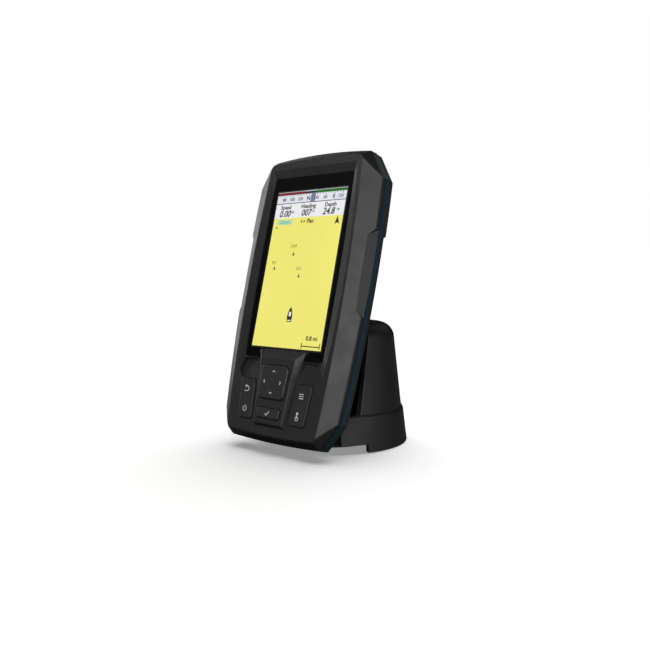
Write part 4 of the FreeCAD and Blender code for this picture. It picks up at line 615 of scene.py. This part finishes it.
BARS_LEFT, BARS_RIGHT = -5.2, 3.8                   # inner ends of the two coloured bars
DIVIDER_HALF = 0.22
TICK_STEP, NORTH = 6.5 / 3, -1.6                    # ten degrees along the tape, and where north lies
TICK_FIRST, TICK_LAST, TICK_HALF, TAPE_MARGIN = -11, 13, 0.16, 0.6
LONG_TICK, SHORT_TICK = 1.5, 0.9
HEADINGS_UP, HEADING_SIZE = 42.5, 2.7
HEADINGS = [("300", -6), ("330", -3), ("30", 3), ("60", 6), ("120", 11.3)]      # label, ticks from north
CARDINALS = [("W", -9, 3.0), ("N", 0, 3.6), ("E", 9, 3.0)]                      # and the letter's size
POINTER_LEFT, POINTER_RIGHT = 0.2, 3.6

LABELS_UP, LABEL_SIZE = 37.7, 3.5
LABELS = [("Speed", -18.6), ("Heading", -0.6), ("Depth", 16.4)]
VALUES_UP, VALUE_SIZE = 33.6, 5.6
VALUES = [("0.00", -18.8), ("007", -1.6), ("24.8", 15.6)]
UNITS_UP, UNIT_SIZE = 34.6, 2.4
UNITS = [("kt", -12.6), ("o", 3.9), ("m", 22.6)]

HINTS_UP = 28.4
PLATE_LEFT, PLATE_RIGHT, PLATE_RADIUS = -22.3, -12.9, 1.5
ZOOM_ACROSS, ZOOM_SIZE = -17.6, 3.0
PAN_ACROSS, PAN_SIZE = 2.6, 3.7
PAN_LEFT_ARROW = [(-4.9, 28.4), (-3.7, 29.4), (-3.7, 27.4)]
PAN_RIGHT_ARROW = [(-1.2, 28.4), (-2.4, 27.4), (-2.4, 29.4)]
NORTH_ARROW = [(23.2, 30.5), (21.4, 25.6), (23.2, 26.7), (25.0, 25.6)]
ZOOM_ARROW = [(-23.6, 26.0), (-24.6, 24.9), (-22.6, 24.9)]

SOUNDING_SIZE = 2.7             # each sounding: figure, across, up, and how far up its marker is
SOUNDINGS = [("12.4", -6.9, 13.4, 8.6), ("9.7", -20.6, 3.2, 0.0), ("15.1", 0.2, -0.3, -4.7)]
MARK_LEFT, MARK_RIGHT, MARK_TIP, MARK_FOOT = 0.0, 1.8, 1.4, -1.0        # a sounding's small triangle
SCALE_LEFT, SCALE_RIGHT, SCALE_FOOT, SCALE_TOP = 12.0, 25.8, -45.85, -45.25
SCALE_END_PLACES, SCALE_END_LINE, SCALE_END_FOOT, SCALE_END_TOP = (12.0, 25.4), 0.55, -46.9, -43.6
SCALE_WORDS_UP = -41.0
SCALE_WORDS = [("0.8", 16.9, 3.6, 0.10), ("mi", 21.6, 3.4, 0.08)]       # word, across, size, boldness

BOAT_ACROSS, BOAT_STERN, BOAT_BOW = -0.5, -32.2, -23.2
HULL = [(1.75, 0.0), (1.95, 3.2), (1.6, 5.8), (0.7, 8.0)]               # half width, up from the stern
DECK_BARS = [(0.8, 3.4, 6.0), (1.2, 0.5, 1.2)]                          # half width, from and to


def layer(number):
    return Art(LAYER[number + 1], LAYER[number] - (LAYER_OVERLAP if number else 0.0))


def picture(art, name, material):
    art.piece(name, material, "unit")


map_yellow = lit("screen_yellow", colour=(0.885, 0.825, 0.180), strength=1.06)
panel_white = lit("screen_white", colour=(0.90, 0.90, 0.93))
tape_white = lit("screen_tape", colour=(0.80, 0.82, 0.88))
port_red = lit("screen_red", colour=(0.20, 0.010, 0.020))
starboard_green = lit("screen_green", colour=(0.010, 0.150, 0.010))
ink = lit("screen_ink", colour=(0.012, 0.012, 0.016))
soft_ink = lit("screen_soft_ink", colour=(0.07, 0.08, 0.13))
map_ink = lit("screen_map_ink", colour=(0.12, 0.10, 0.04))
pointer_blue = lit("screen_pointer", colour=(0.17, 0.20, 0.28))
hint_cyan = lit("screen_cyan", colour=(0.44, 0.76, 0.48))
hint_ink = lit("screen_hint_ink", colour=(0.08, 0.38, 0.42))
boat_grey = lit("screen_boat", colour=(0.025, 0.020, 0.016))


def backgrounds():
    half = PICTURE_HALF
    art = layer(0)
    art.bar(-half, half, PICTURE_FOOT, MAP_TOP)
    picture(art, "screen_map", map_yellow)
    art = layer(0)
    art.bar(-half, half, MAP_TOP, DATA_TOP)
    picture(art, "screen_data_row", panel_white)
    art = layer(0)
    art.bar(-half, half, DATA_TOP, PICTURE_TOP)
    picture(art, "screen_tape_row", tape_white)


def colour_bars():
    art = layer(1)
    art.bar(-PICTURE_HALF, BARS_LEFT, TAPE_TOP, PICTURE_TOP - 0.25)
    picture(art, "screen_port_bar", port_red)
    art = layer(1)
    art.bar(BARS_RIGHT, PICTURE_HALF, TAPE_TOP, PICTURE_TOP - 0.25)
    picture(art, "screen_starboard_bar", starboard_green)
    art = layer(1)
    art.bar(BARS_LEFT, BARS_RIGHT, TAPE_TOP + 0.1, PICTURE_TOP - 0.45)
    art.bar(-PICTURE_HALF, PICTURE_HALF, DATA_TOP - DIVIDER_HALF, DATA_TOP + DIVIDER_HALF)
    picture(art, "screen_dividers", ink)


def compass_tape():
    """Ticks every ten degrees, and the headings along the top of the picture."""
    art = layer(2)
    for tick in range(TICK_FIRST, TICK_LAST + 1):
        x = NORTH + tick * TICK_STEP
        if abs(x) < PICTURE_HALF - TAPE_MARGIN:
            length = LONG_TICK if tick % 3 == 0 else SHORT_TICK
            art.bar(x - TICK_HALF, x + TICK_HALF, TAPE_TOP + 0.1 - length, TAPE_TOP + 0.15)
    for label, tick in HEADINGS:
        art.words(label, NORTH + tick * TICK_STEP, HEADINGS_UP, HEADING_SIZE, bold=0.05)
    picture(art, "screen_headings", soft_ink)
    art = layer(2)
    for label, tick, size in CARDINALS:
        art.words(label, NORTH + tick * TICK_STEP, HEADINGS_UP, size, bold=0.10)
    picture(art, "screen_cardinals", ink)
    art = layer(1)
    art.bar(POINTER_LEFT, POINTER_RIGHT, DATA_TOP + 0.3, TAPE_TOP - 0.1)
    picture(art, "screen_pointer", pointer_blue)


def data_fields():
    """Three readings with their labels; the words and figures are generic."""
    art = layer(1)
    for word, x in LABELS:
        art.words(word, x, LABELS_UP, LABEL_SIZE, bold=0.09)
    for word, x in VALUES:
        art.words(word, x, VALUES_UP, VALUE_SIZE, slant=0.2, squeeze=0.92, bold=0.12)
    for word, x in UNITS:
        art.words(word, x, UNITS_UP, UNIT_SIZE, bold=0.06)
    picture(art, "screen_readings", ink)


def map_hints():
    """Cyan plate and words along the top of the map, with their arrows."""
    art = layer(1)
    left_end = arc((PLATE_LEFT, HINTS_UP), PLATE_RADIUS, start=90, end=270, steps=8)
    right_end = arc((PLATE_RIGHT, HINTS_UP), PLATE_RADIUS, start=-90, end=90, steps=8)
    art.shape(left_end + right_end)
    picture(art, "screen_hint_plate", hint_cyan)
    art = layer(2)
    art.words("Zoom", ZOOM_ACROSS, HINTS_UP, ZOOM_SIZE, slant=0.15)
    picture(art, "screen_hint_words", hint_ink)
    art = layer(1)
    art.words("Pan", PAN_ACROSS, HINTS_UP, PAN_SIZE, slant=0.15, bold=0.10)
    for arrow in (PAN_LEFT_ARROW, PAN_RIGHT_ARROW, NORTH_ARROW, ZOOM_ARROW):
        art.shape(arrow)
    picture(art, "screen_hint_marks", ink)


def map_marks():
    """Soundings with small markers, and the scale bar."""
    art = layer(1)
    for figure, x, y, mark in SOUNDINGS:
        art.words(figure, x, y, SOUNDING_SIZE, bold=0.03)
        tip = (x + (MARK_LEFT + MARK_RIGHT) / 2, mark + MARK_TIP)
        art.shape([tip, (x + MARK_LEFT, mark + MARK_FOOT), (x + MARK_RIGHT, mark + MARK_FOOT)])
    picture(art, "screen_soundings", map_ink)
    art = layer(1)
    art.bar(SCALE_LEFT, SCALE_RIGHT, SCALE_FOOT, SCALE_TOP)
    for x in SCALE_END_PLACES:
        art.bar(x, x + SCALE_END_LINE, SCALE_END_FOOT, SCALE_END_TOP)
    for word, x, size, bold in SCALE_WORDS:
        art.words(word, x, SCALE_WORDS_UP, size, bold=bold)
    picture(art, "screen_scale_bar", boat_grey)


def boat_symbol():
    x, stern = BOAT_ACROSS, BOAT_STERN
    starboard = [(x + half, stern + up) for half, up in HULL]
    port = [(x - half, stern + up) for half, up in HULL]
    art = layer(1)
    art.shape(starboard + [(x, BOAT_BOW)] + port[::-1])
    picture(art, "screen_boat", boat_grey)
    art = layer(2)
    for half, foot, top in DECK_BARS:
        art.bar(x - half, x + half, stern + foot, stern + top)
    picture(art, "screen_boat_deck", panel_white)


backgrounds()
colour_bars()
compass_tape()
data_fields()
map_hints()
map_marks()
boat_symbol()


# ------------------------------------------------------------------ floor, lights and camera
FLOOR_HALF = 12.0
PAPER_DARK, PAPER_LIGHT, PAPER_FIBRE_MM = 0.86, 0.89, 3.0
PAPER_UNSEEN = 0.10             # grey the paper has for everything but the camera
PAPER_GLOW = 0.28               # added for the camera only
SKY_STRENGTH, SKY_SPREAD, SKY_TILT = 3.1, 70, (-21, -9)         # watts a square metre, degrees
AIM = Vector((0.0, -0.02, 0.09))                        # about the middle of the object
SOFTBOX_DISTANCE, SOFTBOX_CLEARANCE = 1.6, 0.03         # from the middle, and above the paper
# Name, azimuth, elevation, watts, size. left_high and front_left_low are set one by one. The other watts
# follow a least-squares fit of trial renders, one for each lamp, to the photo's brightness.
SOFTBOXES = [
    ("front_right_low", 30, 8, 5.9, 0.7),
    ("front_right_high", 30, 32, 6.3, 0.7),
    ("right_low", 60, 8, 3.7, 0.7),
    ("side_right_low", 90, 8, 2.8, 0.7),
    ("rear_right_low", 120, 8, 0.9, 0.7),
    ("left_low", -90, 8, 6.0, 0.7),
    ("left_high", -40, 47, 4.0, 0.7),
    ("rear_left_high", -120, 32, 0.9, 0.7),
    ("rear_high", 180, 32, 0.4, 0.7),
    ("front_left_low", -38, 4, 0.5, 0.4),
]
CAMERA_AT, CAMERA_BACK = (0.2814, -0.3392, 0.1019), Vector((0.6436, -0.7620, 0.0721))
CAMERA_LENS, CAMERA_SENSOR, CAMERA_NEAR = 39.6, 36.0, 0.01


def studio_floor():
    """Broad sheet of white paper; it shows white but throws little light back up at the object."""
    half = FLOOR_HALF
    mesh = bpy.data.meshes.new("studio_floor")
    corners = [(-half, -half, 0), (half, -half, 0), (half, half, 0), (-half, half, 0)]
    mesh.from_pydata(corners, [], [(0, 1, 2, 3)])
    material, tree, shader, coords = blank("studio_paper")
    fibre = noise(tree, coords, PAPER_FIBRE_MM, detail=3.0)
    seen = add(tree, "LightPath").outputs["Is Camera Ray"]
    white = mix_colours(tree, fibre, grey(PAPER_DARK), grey(PAPER_LIGHT))
    tree.links.new(mix_colours(tree, seen, grey(PAPER_UNSEEN), white), shader.inputs["Base Color"])
    shader.inputs["Emission Color"].default_value = WHITE
    tree.links.new(remap(tree, seen, UNIT_RANGE, (0.0, PAPER_GLOW)), shader.inputs["Emission Strength"])
    shader.inputs["Roughness"].default_value = 0.8
    shader.inputs["Specular IOR Level"].default_value = 0.1
    mesh.materials.append(material)
    floor = bpy.data.objects.new("studio_floor", mesh)
    SCENE.collection.objects.link(floor)
    return floor


def set_reach(light, things, state):
    """Light only these things (INCLUDE) or everything but them (EXCLUDE)."""
    group = bpy.data.collections.new(light.name + "_reach")
    for thing in things:
        group.objects.link(thing)
    for linked in group.collection_objects:
        linked.light_linking.link_state = state
    light.light_linking.receiver_collection = group


def softbox(name, azimuth, elevation, watts, size, floor):
    """Square softbox aimed at the object; azimuth 0 is in front and positive to the viewer's right.

    The paper has its own lamp, and the window shows no softboxes, as in a retouched picture.
    """
    a, e = math.radians(azimuth), math.radians(elevation)
    away = Vector((math.sin(a) * math.cos(e), -math.cos(a) * math.cos(e), math.sin(e)))
    place = AIM + away * SOFTBOX_DISTANCE
    place.z = max(place.z, size / 2 + SOFTBOX_CLEARANCE)
    light = bpy.data.lights.new(name, "AREA")
    light.shape = "SQUARE"
    light.size = size
    light.energy = watts
    holder = bpy.data.objects.new(name, light)
    holder.location = place
    holder.rotation_euler = (place - AIM).to_track_quat("Z", "Y").to_euler()
    SCENE.collection.objects.link(holder)
    set_reach(holder, [floor, frame["nodes"]["display_lens"]], "EXCLUDE")


def sky_panel(floor):
    """Very broad overhead light for the paper, which leaves a soft shadow close round the object."""
    light = bpy.data.lights.new("sky_panel", "SUN")
    light.energy = SKY_STRENGTH
    light.angle = math.radians(SKY_SPREAD)
    holder = bpy.data.objects.new("sky_panel", light)
    holder.rotation_euler = (math.radians(SKY_TILT[0]), math.radians(SKY_TILT[1]), 0)
    SCENE.collection.objects.link(holder)
    set_reach(holder, [floor], "INCLUDE")


def studio_world():
    """White behind the object for the camera; it lights nothing."""
    world = bpy.data.worlds.new("studio")
    SCENE.world = world
    world.use_nodes = True
    tree = world.node_tree
    backdrop = tree.nodes["Background"]
    backdrop.inputs["Color"].default_value = WHITE
    tree.links.new(add(tree, "LightPath").outputs["Is Camera Ray"], backdrop.inputs["Strength"])


def product_camera():
    """Camera of the photo, fitted to the corners of picture and keys, the case's outline and the base."""
    camera = bpy.data.cameras.new("product_camera")
    camera.lens, camera.sensor_width = CAMERA_LENS, CAMERA_SENSOR
    camera.clip_start = CAMERA_NEAR
    holder = bpy.data.objects.new("product_camera", camera)
    holder.location = CAMERA_AT
    holder.rotation_euler = CAMERA_BACK.to_track_quat("Z", "Y").to_euler()
    SCENE.collection.objects.link(holder)
    SCENE.camera = holder


paper = studio_floor()
sky_panel(paper)
studio_world()
for name, azimuth, elevation, watts, size in SOFTBOXES:
    softbox(name, azimuth, elevation, watts, size, paper)
product_camera()
